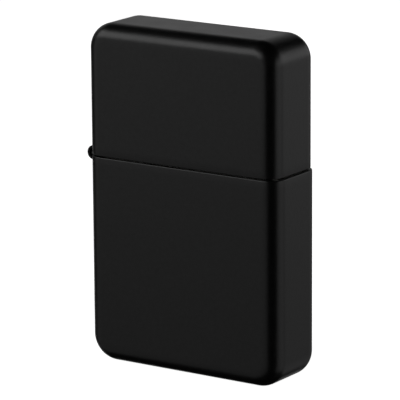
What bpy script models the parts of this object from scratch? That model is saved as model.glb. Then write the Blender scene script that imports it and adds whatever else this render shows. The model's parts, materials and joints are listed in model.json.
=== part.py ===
"""A windproof pocket lighter with a flip lid, shut.

Its origin is the middle of the flat underside of the case. +Z is up, the hinge is at -X and the front
faces -Y. Everything is in metres.
"""

import math

import bmesh
import bpy
from mathutils import Matrix, Vector

# Case
CASE_WIDTH = 0.0371
CASE_DEPTH = 0.0129
CASE_HEIGHT = 0.0570
CASE_WALL = 0.0007
SEAM_HEIGHT = 0.0349  # middle of the gap between the lower shell and the lid
SEAM_GAP = 0.0002
LID_SHORTFALL = 0.0003  # the lid's free end stands in from the lower shell's by this
FOOT_CORNER = 0.0045  # radius of the two lower corners, seen from the front
CROWN_CORNER = 0.0042  # radius of the two upper corners
EDGE_ROUNDING = 0.0028  # radius of the long edges round the front and the back

# Hinge
BARREL_RADIUS = 0.0012
BARREL_PROUD = 0.00105  # how far the barrel stands out past the case
BARREL_MARGIN = 0.00195  # from each end of the barrel to the front or the back of the case
BARREL_RISE = 0.00005  # hinge axis above the seam
KNUCKLES = 5
KNUCKLE_GAP = 0.0002
PIN_RADIUS = 0.0005
PIN_CLEARANCE = 0.0002
LEAF_THICKNESS = 0.00045
LEAF_REACH = 0.0075  # length of each leaf along the wall
WEB_INSET = 0.00005  # top of a leaf's bent web below the top of its knuckles
STOP_REACH = 0.0090  # top of the stop plate above the hinge axis
STOP_MARGIN = 0.0011  # from each end of the barrel to the side of the stop plate
STOP_LIP_OUT = 0.0036  # end of its lip, from the hinge axis
STOP_LIP_UP = 0.0010
STOP_BEND = 0.0008  # the bend above the end of the lip

# Inside unit
SHEET = 0.0005
EAR_INSET = 0.000025  # faces of a lug within the faces of the chimney's wall
SHOULDER_RISE = 0.0020  # shoulder above the seam
INSERT_LIFT = 0.0010  # how far the inside unit can rise under the shut lid
DECK_THICKNESS = 0.0005
LEDGE = 0.00115  # width of the shoulder in front of and behind the chimney
CHIMNEY_CORNER = 0.0028
CHIMNEY_ROOM = 0.0017  # from the top of the chimney to the inside of the lid
AIR_HOLE_RADIUS = 0.00085
AIR_HOLE_PITCH = 0.0032  # along a row
AIR_HOLE_ROW = 0.0032  # between rows
AIR_HOLE_DROP = 0.0040  # top row below the top of the chimney

# Striker
WHEEL_RADIUS = 0.0032
WHEEL_MARGIN = 0.0010  # from each side of the rim to an ear
WHEEL_TEETH = 28
TOOTH_DEPTH = 0.00025
WHEEL_HUB_RADIUS = 0.00176
WHEEL_RISE = 0.0024  # lowest point of the rim above the shoulder
WHEEL_INSET = 0.00615  # wheel axis from the side of the inside unit
WHEEL_SPACE = 0.0005  # between the chimney and the wheel
WHEEL_RIVET_RADIUS = 0.00075
WHEEL_EAR = 0.0022
FLINT_RADIUS = 0.0012
FLINT_LENGTH = 0.0050
FLINT_GAP = 0.0002
TUBE_BORE = 0.00145
TUBE_WALL = 0.0004
TUBE_SPACE = 0.0007  # between the tube and the wheel
TIP_LENGTH = 0.0022
TIP_NECK_LENGTH = 0.0007
TIP_NECK_RADIUS = 0.0006
SPRING_WIRE = 0.00022
SPRING_TURNS = 11
SCREW_HEAD_RADIUS = 0.0024
SCREW_HEAD_HEIGHT = 0.0009
SCREW_SHANK_RADIUS = 0.00115
SCREW_SHANK_LENGTH = 0.0080
SCREW_SLOT = 0.0006

# Cam
CAM_AXIS_IN = 0.0062  # cam axis from the hinge axis, along X
CAM_AXIS_RISE = 0.0030  # cam axis above the shoulder
CAM_SPACE = 0.0046  # from the cam axis to the chimney
CAM_RADIUS = 0.0023
CAM_TIP_RADIUS = 0.0006
CAM_NOSE_SPACE = 0.00085  # between the stop plate and the nose
CAM_NOSE_DROP = 0.00155  # middle of the nose's round end below the cam axis
CAM_TAIL = (0.0020, -0.0015)  # middle of the tail's round end, from the cam axis
CAM_EAR = 0.0020
CAM_RIVET_RADIUS = 0.0006
CAM_SPRING_WIDTH = 0.0036
CAM_SPRING_THICKNESS = 0.00035
CAM_SPRING_FOOT = 0.0110  # foot of the spring below the shoulder
SPRING_RIVET_RADIUS = 0.0006
SPRING_RIVET_RISE = 0.0015  # its rivet above the foot of the spring
RIVET_HEAD = 0.0005
RIVET_HEAD_OVERHANG = 0.0008
RIVET_CROWN = 0.8  # flat crown of a rivet's head, as a share of its radius

# Wick, felt and cotton
WICK_OFFSET = -0.0011  # from the middle of the chimney
WICK_RADIUS = 0.0014
WICK_DROP = 0.0015  # top of the wick below the top of the chimney
WICK_SWING = 0.0050
FELT_THICKNESS = 0.0025
FELT_CLEARANCE = 0.00035  # round the head of the screw
PADS = 4
PACKING_HEADROOM = 0.0030  # under the deck
PACKING_ROUNDING = 0.0012

FIT_GAP = 0.0003  # between pieces that touch
RUN_GAP = 0.00025  # round an axle or a tube

# Sizes and places that follow from the ones above
BARREL_LENGTH = CASE_DEPTH - 2 * BARREL_MARGIN
LEAF_WIDTH = CASE_DEPTH - 2 * EDGE_ROUNDING
STOP_WIDTH = BARREL_LENGTH - 2 * STOP_MARGIN
HINGE_X = -CASE_WIDTH / 2 - BARREL_PROUD + BARREL_RADIUS
HINGE_Z = SEAM_HEIGHT + BARREL_RISE
LEAF_OUTER_X = -CASE_WIDTH / 2 + CASE_WALL + FIT_GAP
LEAF_INNER_X = LEAF_OUTER_X + LEAF_THICKNESS
LEAF_START = math.sqrt((BARREL_RADIUS + PIN_CLEARANCE) ** 2 - (LEAF_OUTER_X - HINGE_X) ** 2)
STOP_X = LEAF_INNER_X + FIT_GAP + LEAF_THICKNESS / 2
LID_RIGHT = CASE_WIDTH / 2 - LID_SHORTFALL
INSERT_LEFT = max(LEAF_INNER_X, HINGE_X + BARREL_RADIUS) + FIT_GAP
INSERT_RIGHT = LID_RIGHT - CASE_WALL - FIT_GAP
INSERT_DEPTH = CASE_DEPTH - 2 * (CASE_WALL + FIT_GAP)
INSERT_CORNER = max(EDGE_ROUNDING - CASE_WALL - FIT_GAP, SHEET * 2)
INSERT_BOTTOM = max(EDGE_ROUNDING, FOOT_CORNER - CASE_WALL * 2) + FIT_GAP
SHOULDER_Z = SEAM_HEIGHT + SHOULDER_RISE
DECK_TOP = HINGE_Z + STOP_LIP_UP - LEAF_THICKNESS - FIT_GAP - INSERT_LIFT
CHIMNEY_TOP = CASE_HEIGHT - CASE_WALL - CHIMNEY_ROOM
CHIMNEY_DEPTH = INSERT_DEPTH - 2 * LEDGE
EAR_GAP = CHIMNEY_DEPTH - 2 * SHEET
WHEEL_WIDTH = EAR_GAP - 2 * WHEEL_MARGIN
WHEEL_X = INSERT_RIGHT - WHEEL_INSET
WHEEL_Z = SHOULDER_Z + WHEEL_RISE + WHEEL_RADIUS
FLINT_TOP = WHEEL_Z - WHEEL_RADIUS - FLINT_GAP
CAM_X = HINGE_X + CAM_AXIS_IN
CAM_Z = SHOULDER_Z + CAM_AXIS_RISE
NOSE_LEFT = STOP_X + LEAF_THICKNESS / 2 + CAM_NOSE_SPACE
CAM_NOSE = (NOSE_LEFT + CAM_TIP_RADIUS - CAM_X, -CAM_NOSE_DROP)
CHIMNEY_LEFT = CAM_X + CAM_SPACE
CHIMNEY_RIGHT = WHEEL_X - WHEEL_RADIUS - WHEEL_SPACE
CHIMNEY_MIDDLE = (CHIMNEY_LEFT + CHIMNEY_RIGHT) / 2
WICK_X = CHIMNEY_MIDDLE + WICK_OFFSET
FELT_BOTTOM = INSERT_BOTTOM + FIT_GAP
SCREW_BOTTOM = FELT_BOTTOM
TUBE_BOTTOM = SCREW_BOTTOM + SCREW_HEAD_HEIGHT + FIT_GAP
TUBE_TOP = WHEEL_Z - WHEEL_RADIUS - TUBE_SPACE
TUBE_OUTER = TUBE_BORE + TUBE_WALL
PACKING_BOTTOM = FELT_BOTTOM + FELT_THICKNESS + FIT_GAP
PACKING_TOP = DECK_TOP - DECK_THICKNESS - PACKING_HEADROOM
PACKING_LEFT = INSERT_LEFT + SHEET + CAM_SPRING_THICKNESS + RIVET_HEAD + 3 * FIT_GAP
INNER_RIGHT = INSERT_RIGHT - SHEET - FIT_GAP
TIP_BOTTOM = FLINT_TOP - FLINT_LENGTH - FLINT_GAP - TIP_LENGTH
SPRING_RIVET_Z = SHOULDER_Z - CAM_SPRING_FOOT + SPRING_RIVET_RISE
INNER_DEPTH = INSERT_DEPTH - 2 * (SHEET + FIT_GAP)

PAST = 0.0020  # how far a cutter runs past what it cuts
OVERLAP = 0.00002  # keeps the faces of joined shapes from coinciding
ROUND_STEPS = 24

FRONT_TO_UP = Matrix.Rotation(math.pi / 2, 4, "X")  # turns an outline drawn in XY to stand in XZ
ALONG_Y = Matrix.Rotation(-math.pi / 2, 4, "X")  # turns what stands along Z to lie along Y
ALONG_X = Matrix.Rotation(math.pi / 2, 4, "Y")  # turns what stands along Z to lie along X

parts = bpy.data.collections.new("pocket_lighter")
cutters = bpy.data.collections.new("cutters")


# Scene, materials and joins


def start_scene():
    for obj in list(bpy.data.objects):
        bpy.data.objects.remove(obj, do_unlink=True)
    bpy.context.scene.collection.children.link(parts)
    bpy.context.scene.collection.children.link(cutters)


def finish(name, colour, roughness, metallic):
    made = bpy.data.materials.new(name)
    made.use_nodes = True
    shader = made.node_tree.nodes["Principled BSDF"]
    shader.inputs["Base Color"].default_value = (*colour, 1)
    shader.inputs["Roughness"].default_value = roughness
    shader.inputs["Metallic"].default_value = metallic
    made.diffuse_color = (*colour, 1)
    return made


def place(name, mesh, material=None):
    """Adds the mesh as a part, or as a cutter when it has no material."""
    obj = bpy.data.objects.new(name, mesh)
    if material:
        mesh.materials.append(material)
        parts.objects.link(obj)
    else:
        obj.hide_render = True
        obj.display_type = "WIRE"
        cutters.objects.link(obj)
    return obj


def mesh_of(bm, name):
    mesh = bpy.data.meshes.new(name)
    bm.to_mesh(mesh)
    bm.free()
    return mesh


def hang(child, parent):
    """Parents child without moving it."""
    child.parent = parent
    child.matrix_parent_inverse = parent.matrix_basis.inverted()


def set_origin(obj, point):
    obj.data.transform(Matrix.Translation(-Vector(point)))
    obj.location = point


def boolean(obj, other, operation):
    modifier = obj.modifiers.new(other.name, "BOOLEAN")
    modifier.operation = operation
    modifier.solver = "EXACT"
    modifier.object = other
    hang(other, obj)


def cut(obj, *others):
    for other in others:
        boolean(obj, other, "DIFFERENCE")


def join(obj, *others):
    for other in others:
        boolean(obj, other, "UNION")


def smooth(obj, degrees=35):
    obj.data.shade_smooth()
    obj.data.set_sharp_from_angle(angle=math.radians(degrees))


# Basic shapes, each a mesh in its place


def box_bmesh(low, high):
    bm = bmesh.new()
    bmesh.ops.create_cube(bm, size=1)
    low, high = Vector(low), Vector(high)
    bmesh.ops.scale(bm, vec=high - low, verts=bm.verts)
    bmesh.ops.translate(bm, vec=(low + high) / 2, verts=bm.verts)
    return bm


def box(name, low, high):
    return mesh_of(box_bmesh(low, high), name)


def bevel(bm, edges, radius, segments):
    bmesh.ops.bevel(
        bm, geom=edges, offset=radius, segments=segments, profile=0.5, affect="EDGES", clamp_overlap=True
    )


def upright(edge):
    return abs(edge.verts[0].co.z - edge.verts[1].co.z) > 1e-5


def rounded_box(name, low, high, upright_radius, other_radius=0, segments=4):
    """A box with its four upright edges rounded, and then its top and bottom edges."""
    bm = box_bmesh(low, high)
    bevel(bm, [e for e in bm.edges if upright(e)], upright_radius, segments)
    if other_radius:
        rims = [e for e in bm.edges if not upright(e)]
        bevel(bm, rims, other_radius, 3)
    return mesh_of(bm, name)


def cylinder(name, radius, start, length, turn=Matrix(), steps=ROUND_STEPS):
    """A cylinder from start, along +Z before it is turned."""
    bm = bmesh.new()
    bmesh.ops.create_cone(
        bm, cap_ends=True, cap_tris=False, segments=steps, radius1=radius, radius2=radius, depth=length
    )
    bmesh.ops.translate(bm, vec=(0, 0, length / 2), verts=bm.verts)
    bm.transform(Matrix.Translation(start) @ turn)
    return mesh_of(bm, name)


def turned(name, profile, material, start, turn=Matrix(), ring=False):
    """A profile of (radius, height) points, top to bottom along its outer side, turned about its axis."""
    bm = bmesh.new()
    points = [bm.verts.new((radius, 0, height)) for radius, height in profile]
    for first, second in zip(points, points[1:]):
        bm.edges.new((first, second))
    if ring:
        bm.edges.new((points[-1], points[0]))
    obj = place(name, mesh_of(bm, name), material)
    obj.matrix_world = Matrix.Translation(start) @ turn
    screw = obj.modifiers.new("turn", "SCREW")
    screw.steps = screw.render_steps = ROUND_STEPS
    screw.use_merge_vertices = True
    screw.merge_threshold = 1e-6
    screw.use_smooth_shade = False
    return obj


def evaluated_mesh(obj, name):
    """The curve object's mesh with its caps welded. The curve itself is removed."""
    graph = bpy.context.evaluated_depsgraph_get()
    mesh = bpy.data.meshes.new_from_object(obj.evaluated_get(graph))
    mesh.name = name
    bm = bmesh.new()
    bm.from_mesh(mesh)
    bmesh.ops.remove_doubles(bm, verts=bm.verts, dist=1e-6)
    bmesh.ops.recalc_face_normals(bm, faces=bm.faces)
    bm.to_mesh(mesh)
    bm.free()
    bpy.data.objects.remove(obj, do_unlink=True)
    return mesh


def curve_object(name, outlines, cyclic, flat):
    curve = bpy.data.curves.new(name, "CURVE")
    curve.dimensions = "2D" if flat else "3D"
    for points in outlines:
        spline = curve.splines.new("POLY")
        spline.points.add(len(points) - 1)
        for point, co in zip(spline.points, points):
            point.co = (*co, 1) if len(co) == 3 else (*co, 0, 1)
        spline.use_cyclic_u = cyclic
    obj = bpy.data.objects.new(name, curve)
    cutters.objects.link(obj)
    return obj


def plate(name, outlines, thickness, turn=FRONT_TO_UP, middle=(0, 0, 0)):
    """A flat plate of these closed outlines, the later ones being its holes."""
    obj = curve_object(name, outlines, cyclic=True, flat=True)
    obj.data.fill_mode = "BOTH"
    obj.data.extrude = thickness / 2
    mesh = evaluated_mesh(obj, name)
    mesh.transform(Matrix.Translation(middle) @ turn)
    return mesh


def rod(name, points, radius):
    """A round rod along the points."""
    obj = curve_object(name, [points], cyclic=False, flat=False)
    obj.data.bevel_depth = radius
    obj.data.bevel_resolution = 2
    obj.data.use_fill_caps = True
    return evaluated_mesh(obj, name)


def strip(name, path, width, thickness, material):
    """Sheet bent along a path of (x, z) points, with its width along Y."""
    bm = bmesh.new()
    rows = [[bm.verts.new((x, y, z)) for y in (-width / 2, width / 2)] for x, z in path]
    for (a, b), (c, d) in zip(rows, rows[1:]):
        bm.faces.new((a, b, d, c))
    obj = place(name, mesh_of(bm, name), material)
    solid = obj.modifiers.new("sheet", "SOLIDIFY")
    solid.thickness = thickness
    solid.offset = 0
    solid.use_even_offset = True
    return obj


def arc(centre, radius, start, end, steps=8):
    """Points of an arc in a flat outline, its angles in degrees."""
    angles = (math.radians(start + (end - start) * i / steps) for i in range(steps + 1))
    return [(centre[0] + radius * math.cos(a), centre[1] + radius * math.sin(a)) for a in angles]


# Case


def shell(name, left, right, closed_z, open_z, corner, material):
    """Half of the case: a rounded box without its open face, thickened inwards."""
    low_z, high_z = min(closed_z, open_z), max(closed_z, open_z)
    bm = box_bmesh((left, -CASE_DEPTH / 2, low_z), (right, CASE_DEPTH / 2, high_z))
    open_faces = [f for f in bm.faces if all(abs(v.co.z - open_z) < 1e-7 for v in f.verts)]
    bmesh.ops.delete(bm, geom=open_faces, context="FACES")
    corners = [
        e for e in bm.edges
        if all(abs(v.co.z - closed_z) < 1e-7 for v in e.verts) and e.verts[0].co.y * e.verts[1].co.y < 0
    ]
    bevel(bm, corners, corner, 8)
    long_edges = [e for e in bm.edges if not e.is_boundary and e.verts[0].co.y * e.verts[1].co.y > 0]
    bevel(bm, long_edges, EDGE_ROUNDING, 6)
    obj = place(name, mesh_of(bm, name), material)
    wall = obj.modifiers.new("wall", "SOLIDIFY")
    wall.thickness = CASE_WALL
    wall.offset = -1
    wall.use_even_offset = True
    smooth(obj)
    return obj


def hinge_notch(name):
    """Room for the barrel in the hinge side of a shell."""
    half = BARREL_LENGTH / 2 + FIT_GAP
    reach = BARREL_RADIUS + FIT_GAP
    return place(
        name,
        box(
            name,
            (-CASE_WIDTH / 2 - PAST, -half, HINGE_Z - reach),
            (-CASE_WIDTH / 2 + CASE_WALL + PAST, half, HINGE_Z + reach),
        ),
    )


def case(black):
    lower_rim = SEAM_HEIGHT - SEAM_GAP / 2
    bottom = shell("case_bottom", -CASE_WIDTH / 2, CASE_WIDTH / 2, 0, lower_rim, FOOT_CORNER, black)
    cut(bottom, hinge_notch("bottom_notch"))
    upper_rim = SEAM_HEIGHT + SEAM_GAP / 2
    lid = shell("case_lid", -CASE_WIDTH / 2, LID_RIGHT, CASE_HEIGHT, upper_rim, CROWN_CORNER, black)
    cut(lid, hinge_notch("lid_notch"))
    return bottom, lid


# Hinge


def heights(side, near, far):
    """Two heights at these distances from the hinge axis, the lower one first."""
    return sorted((HINGE_Z + side * near, HINGE_Z + side * far))


def leaf(name, side, kept, steel):
    """A leaf inside the wall, with webs bent out to its knuckles. side is 1 in the lid and -1 below it."""
    half = BARREL_LENGTH / 2
    low, high = heights(side, LEAF_START, LEAF_START + LEAF_REACH)
    flat = LEAF_WIDTH / 2
    obj = place(name, box(name, (LEAF_OUTER_X, -flat, low), (LEAF_INNER_X, flat, high)), steel)
    pitch = (BARREL_LENGTH + KNUCKLE_GAP) / KNUCKLES
    web_far = BARREL_RADIUS - WEB_INSET
    web_near = web_far - LEAF_THICKNESS
    web_low, web_high = heights(side, web_near, web_far)
    tab_low, tab_high = heights(side, web_near + OVERLAP, LEAF_START + LEAF_THICKNESS / 2)
    for index in kept:
        start = -half + index * pitch
        end = start + pitch - KNUCKLE_GAP
        web = f"{name}_web_{index}"
        web_box = box(
            web, (HINGE_X, start + OVERLAP, web_low), (LEAF_INNER_X - OVERLAP, end - OVERLAP, web_high)
        )
        tab = f"{name}_tab_{index}"
        tab_box = box(
            tab,
            (LEAF_OUTER_X + OVERLAP, start + 2 * OVERLAP, tab_low),
            (LEAF_INNER_X - 2 * OVERLAP, end - 2 * OVERLAP, tab_high),
        )
        knuckle = f"{name}_knuckle_{index}"
        rolled = cylinder(knuckle, BARREL_RADIUS, (HINGE_X, start, HINGE_Z), end - start, ALONG_Y)
        join(obj, place(tab, tab_box), place(web, web_box), place(knuckle, rolled))
    bore = f"{name}_bore"
    length = BARREL_LENGTH + 2 * PAST
    radius = PIN_RADIUS + PIN_CLEARANCE
    cut(obj, place(bore, cylinder(bore, radius, (HINGE_X, -length / 2, HINGE_Z), length, ALONG_Y)))
    return obj


def hinge_pin(steel):
    mesh = cylinder("hinge_pin", PIN_RADIUS, (HINGE_X, -BARREL_LENGTH / 2, HINGE_Z), BARREL_LENGTH, ALONG_Y)
    obj = place("hinge_pin", mesh, steel)
    smooth(obj)
    return obj


def stop_plate(steel):
    path = [
        (STOP_X, HINGE_Z + STOP_REACH),
        (STOP_X, HINGE_Z + STOP_LIP_UP + STOP_BEND),
        (HINGE_X + STOP_LIP_OUT, HINGE_Z + STOP_LIP_UP),
    ]
    return strip("lid_stop_plate", path, STOP_WIDTH, LEAF_THICKNESS, steel)


# Inside unit


def grown(low, high, by):
    """The corners of a box with its four sides moved out by this much, and its ends moved by PAST."""
    step = Vector((by, by, PAST))
    return Vector(low) - step, Vector(high) + step


def tank(steel):
    """Tank walls and shoulder: a box with rounded upright edges, open underneath."""
    half = INSERT_DEPTH / 2
    low, high = (INSERT_LEFT, -half, INSERT_BOTTOM), (INSERT_RIGHT, half, SHOULDER_Z)
    obj = place("insert_case", rounded_box("insert_case", low, high, INSERT_CORNER, segments=6), steel)
    inner_low, inner_high = grown(low, high, -SHEET)
    inner_high.z = SHOULDER_Z - SHEET
    room = rounded_box("tank_room", inner_low, inner_high, INSERT_CORNER - SHEET, segments=6)
    cut(obj, place("tank_room", room))
    return obj


def chimney_and_flue():
    """The windshield as a solid that stands through the shoulder, and the space to cut inside it."""
    half = CHIMNEY_DEPTH / 2
    low = (CHIMNEY_LEFT, -half, SHOULDER_Z - SHEET - FIT_GAP)
    high = (CHIMNEY_RIGHT, half, CHIMNEY_TOP)
    outside = rounded_box("chimney", low, high, CHIMNEY_CORNER, segments=6)
    inside = rounded_box("flue", *grown(low, high, -SHEET), CHIMNEY_CORNER - SHEET, segments=6)
    return place("chimney", outside), place("flue", inside)


def ear(name, side, inner_x, axis, radius):
    """A lug beside the chimney, from inner_x out to a rounded end about the axle."""
    base = SHOULDER_Z - SHEET - FIT_GAP
    outwards = 1 if axis[0] > inner_x else -1
    quarter = arc(axis, radius, 90 - 90 * outwards, 90)
    outline = [(inner_x, base), (axis[0] + outwards * radius, base), *quarter, (inner_x, axis[1] + radius)]
    y = side * (CHIMNEY_DEPTH - SHEET) / 2
    return place(name, plate(name, [outline], SHEET - 2 * EAR_INSET, middle=(0, y, 0)))


def air_holes():
    """One cutter for the rows of three, two and three holes through the upper part of the chimney's walls."""
    bm = bmesh.new()
    for row, count in enumerate((3, 2, 3)):
        for column in range(count):
            x = CHIMNEY_MIDDLE + (column - (count - 1) / 2) * AIR_HOLE_PITCH
            z = CHIMNEY_TOP - AIR_HOLE_DROP - row * AIR_HOLE_ROW
            bmesh.ops.create_cone(
                bm, cap_ends=True, cap_tris=False, segments=16, radius1=AIR_HOLE_RADIUS,
                radius2=AIR_HOLE_RADIUS, depth=CHIMNEY_DEPTH + 2 * PAST,
                matrix=Matrix.Translation((x, 0, z)) @ ALONG_Y,
            )
    return place("air_holes", mesh_of(bm, "air_holes"))


def axle_hole(name, radius, x, z):
    start = (x, -CHIMNEY_DEPTH / 2 - PAST, z)
    return place(name, cylinder(name, radius + RUN_GAP, start, CHIMNEY_DEPTH + 2 * PAST, ALONG_Y))


def insert_case(steel):
    obj = tank(steel)
    slot_half = (CHIMNEY_DEPTH - SHEET) / 2
    slot = box(
        "slot",
        (CAM_X - CAM_EAR - SHEET, -slot_half, SHOULDER_Z - SHEET - FIT_GAP),
        (WHEEL_X + WHEEL_EAR + SHEET, slot_half, SHOULDER_Z + PAST),
    )
    lip_half = STOP_WIDTH / 2 + FIT_GAP
    lip_room = box(
        "lip_room",
        (INSERT_LEFT - PAST, -lip_half, DECK_TOP),
        (CAM_X - CAM_EAR, lip_half, SHOULDER_Z + PAST),
    )
    cut(obj, place("slot", slot), place("lip_room", lip_room))
    chimney, flue = chimney_and_flue()
    join(obj, chimney)
    cut(obj, flue, air_holes())
    for side, place_name in ((-1, "front"), (1, "back")):
        wheel_root = CHIMNEY_RIGHT - CHIMNEY_CORNER - SHEET
        cam_root = CHIMNEY_LEFT + CHIMNEY_CORNER + SHEET
        join(
            obj,
            ear(f"wheel_ear_{place_name}", side, wheel_root, (WHEEL_X, WHEEL_Z), WHEEL_EAR),
            ear(f"cam_ear_{place_name}", side, cam_root, (CAM_X, CAM_Z), CAM_EAR),
        )
    spark_half = WHEEL_WIDTH / 2 - SHEET
    spark_slot = box(
        "spark_slot",
        (CHIMNEY_RIGHT - SHEET - FIT_GAP, -spark_half, WHEEL_Z - WHEEL_RADIUS / 2),
        (CHIMNEY_RIGHT + PAST, spark_half, CHIMNEY_TOP + PAST),
    )
    rivet_hole = cylinder(
        "spring_rivet_hole", SPRING_RIVET_RADIUS + RUN_GAP, (INSERT_LEFT - PAST, 0, SPRING_RIVET_Z),
        SHEET + 2 * PAST, ALONG_X,
    )
    cut(
        obj,
        place("spark_slot", spark_slot),
        axle_hole("wheel_axle_hole", WHEEL_RIVET_RADIUS, WHEEL_X, WHEEL_Z),
        axle_hole("cam_axle_hole", CAM_RIVET_RADIUS, CAM_X, CAM_Z),
        place("spring_rivet_hole", rivet_hole),
    )
    return obj


def insert_deck(steel):
    low = (INSERT_LEFT + SHEET + FIT_GAP, -INNER_DEPTH / 2, DECK_TOP - DECK_THICKNESS)
    high = (INNER_RIGHT, INNER_DEPTH / 2, DECK_TOP)
    obj = place("insert_deck", rounded_box("insert_deck", low, high, INSERT_CORNER - SHEET), steel)
    start_z = DECK_TOP - DECK_THICKNESS - PAST
    length = DECK_THICKNESS + 2 * PAST
    tube_hole = cylinder("deck_tube_hole", TUBE_OUTER + RUN_GAP, (WHEEL_X, 0, start_z), length)
    wick_hole = cylinder("deck_wick_hole", WICK_RADIUS + FIT_GAP, (WICK_X, 0, start_z), length)
    spring_half = CAM_SPRING_WIDTH / 2 + FIT_GAP
    spring_slot = box(
        "deck_spring_slot",
        (CAM_X - FIT_GAP, -spring_half, start_z),
        (CAM_X + CAM_TAIL[0] + CAM_TIP_RADIUS, spring_half, start_z + length),
    )
    cut(
        obj,
        place("deck_tube_hole", tube_hole),
        place("deck_wick_hole", wick_hole),
        place("deck_spring_slot", spring_slot),
    )
    return obj


def felt_pad(felt):
    low = (INSERT_LEFT + SHEET + FIT_GAP, -INNER_DEPTH / 2, FELT_BOTTOM)
    high = (INNER_RIGHT, INNER_DEPTH / 2, FELT_BOTTOM + FELT_THICKNESS)
    obj = place("felt_pad", rounded_box("felt_pad", low, high, INSERT_CORNER - SHEET), felt)
    start = (WHEEL_X, 0, FELT_BOTTOM - PAST)
    radius = max(SCREW_HEAD_RADIUS, TUBE_OUTER) + FELT_CLEARANCE
    hole = cylinder("felt_hole", radius, start, FELT_THICKNESS + 2 * PAST)
    cut(obj, place("felt_hole", hole))
    return obj


def wick_path():
    """Straight down from the chimney, then winding through the packing."""
    points = [(WICK_X, 0, CHIMNEY_TOP - WICK_DROP), (WICK_X, 0, (CHIMNEY_TOP + PACKING_TOP) / 2)]
    run = PACKING_TOP - PACKING_BOTTOM - 3 * WICK_RADIUS
    steps = 20
    for step in range(steps + 1):
        along = step / steps
        sway = -WICK_SWING * math.sin(2 * math.pi * along) * min(1, 4 * along)
        points.append((WICK_X + sway, 0, PACKING_TOP - along * run))
    return points


def wick(cotton):
    obj = place("wick", rod("wick", wick_path(), WICK_RADIUS), cotton)
    smooth(obj, 60)
    return obj


def packing(cotton):
    """Cotton pads, one above another, with room for the wick and the flint tube."""
    height = (PACKING_TOP - PACKING_BOTTOM - (PADS - 1) * FIT_GAP) / PADS
    made = []
    for index in range(PADS):
        name = f"packing_{index + 1}"
        low_z = PACKING_BOTTOM + index * (height + FIT_GAP)
        low = (PACKING_LEFT, -INNER_DEPTH / 2, low_z)
        high = (INNER_RIGHT, INNER_DEPTH / 2, low_z + height)
        pad = place(name, rounded_box(name, low, high, PACKING_ROUNDING, segments=3), cotton)
        tube = f"{name}_tube_hole"
        tube_mesh = cylinder(
            tube, TUBE_OUTER + FIT_GAP, (WHEEL_X, 0, low_z - PAST), height + 2 * PAST
        )
        channel = f"{name}_wick_channel"
        cut(
            pad,
            place(tube, tube_mesh),
            place(channel, rod(channel, wick_path(), WICK_RADIUS + FIT_GAP)),
        )
        made.append(pad)
    return made


# Striker


def flint_tube(brass):
    height = TUBE_TOP - TUBE_BOTTOM
    profile = [(TUBE_BORE, height), (TUBE_OUTER, height), (TUBE_OUTER, 0), (TUBE_BORE, 0)]
    return turned("flint_tube", profile, brass, (WHEEL_X, 0, TUBE_BOTTOM), ring=True)


def flint(grey):
    start = (WHEEL_X, 0, FLINT_TOP - FLINT_LENGTH)
    obj = place("flint", cylinder("flint", FLINT_RADIUS, start, FLINT_LENGTH), grey)
    smooth(obj)
    return obj


def spring_tip(brass):
    """A follower with a spigot that the spring's top coil sits round."""
    profile = [
        (0, TIP_LENGTH),
        (FLINT_RADIUS, TIP_LENGTH),
        (FLINT_RADIUS, TIP_NECK_LENGTH),
        (TIP_NECK_RADIUS, TIP_NECK_LENGTH),
        (TIP_NECK_RADIUS, 0),
        (0, 0),
    ]
    return turned("spring_tip", profile, brass, (WHEEL_X, 0, TIP_BOTTOM))


def flint_spring(steel):
    """A coil from the screw's shank to the shoulder of the tip."""
    low = SCREW_BOTTOM + SCREW_HEAD_HEIGHT + SCREW_SHANK_LENGTH + FIT_GAP + SPRING_WIRE
    high = TIP_BOTTOM - FLINT_GAP - SPRING_WIRE
    radius = TUBE_BORE - RUN_GAP - SPRING_WIRE
    per_turn = 10
    count = SPRING_TURNS * per_turn
    points = []
    for index in range(count + 1):
        angle = 2 * math.pi * index / per_turn
        x = WHEEL_X + radius * math.cos(angle)
        points.append((x, radius * math.sin(angle), low + (high - low) * index / count))
    obj = place("flint_spring", rod("flint_spring", points, SPRING_WIRE), steel)
    smooth(obj, 60)
    return obj


def flint_screw(brass):
    height = SCREW_HEAD_HEIGHT + SCREW_SHANK_LENGTH
    profile = [
        (0, height),
        (SCREW_SHANK_RADIUS, height),
        (SCREW_SHANK_RADIUS, SCREW_HEAD_HEIGHT),
        (SCREW_HEAD_RADIUS, SCREW_HEAD_HEIGHT),
        (SCREW_HEAD_RADIUS, 0),
        (0, 0),
    ]
    obj = turned("flint_screw", profile, brass, (WHEEL_X, 0, SCREW_BOTTOM))
    across = SCREW_HEAD_RADIUS + PAST
    slot = box(
        "screw_slot",
        (WHEEL_X - across, -SCREW_SLOT / 2, SCREW_BOTTOM - PAST),
        (WHEEL_X + across, SCREW_SLOT / 2, SCREW_BOTTOM + SCREW_HEAD_HEIGHT / 2),
    )
    cut(obj, place("screw_slot", slot))
    return obj


def flint_wheel(steel):
    """A toothed rim with a hub that fills the space between the ears."""
    rim = []
    for tooth in range(WHEEL_TEETH):
        for radius, share in ((WHEEL_RADIUS, 0), (WHEEL_RADIUS - TOOTH_DEPTH, 0.5)):
            angle = 2 * math.pi * (tooth + share) / WHEEL_TEETH
            rim.append((WHEEL_X + radius * math.cos(angle), WHEEL_Z + radius * math.sin(angle)))
    obj = place("flint_wheel", plate("flint_wheel", [rim], WHEEL_WIDTH), steel)
    set_origin(obj, (WHEEL_X, 0, WHEEL_Z))
    hub_width = EAR_GAP - 2 * FIT_GAP
    start = (WHEEL_X, -hub_width / 2, WHEEL_Z)
    hub = cylinder("wheel_hub", WHEEL_HUB_RADIUS, start, hub_width, ALONG_Y)
    join(obj, place("wheel_hub", hub))
    cut(obj, axle_hole("wheel_bore", WHEEL_RIVET_RADIUS, WHEEL_X, WHEEL_Z))
    return obj


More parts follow.
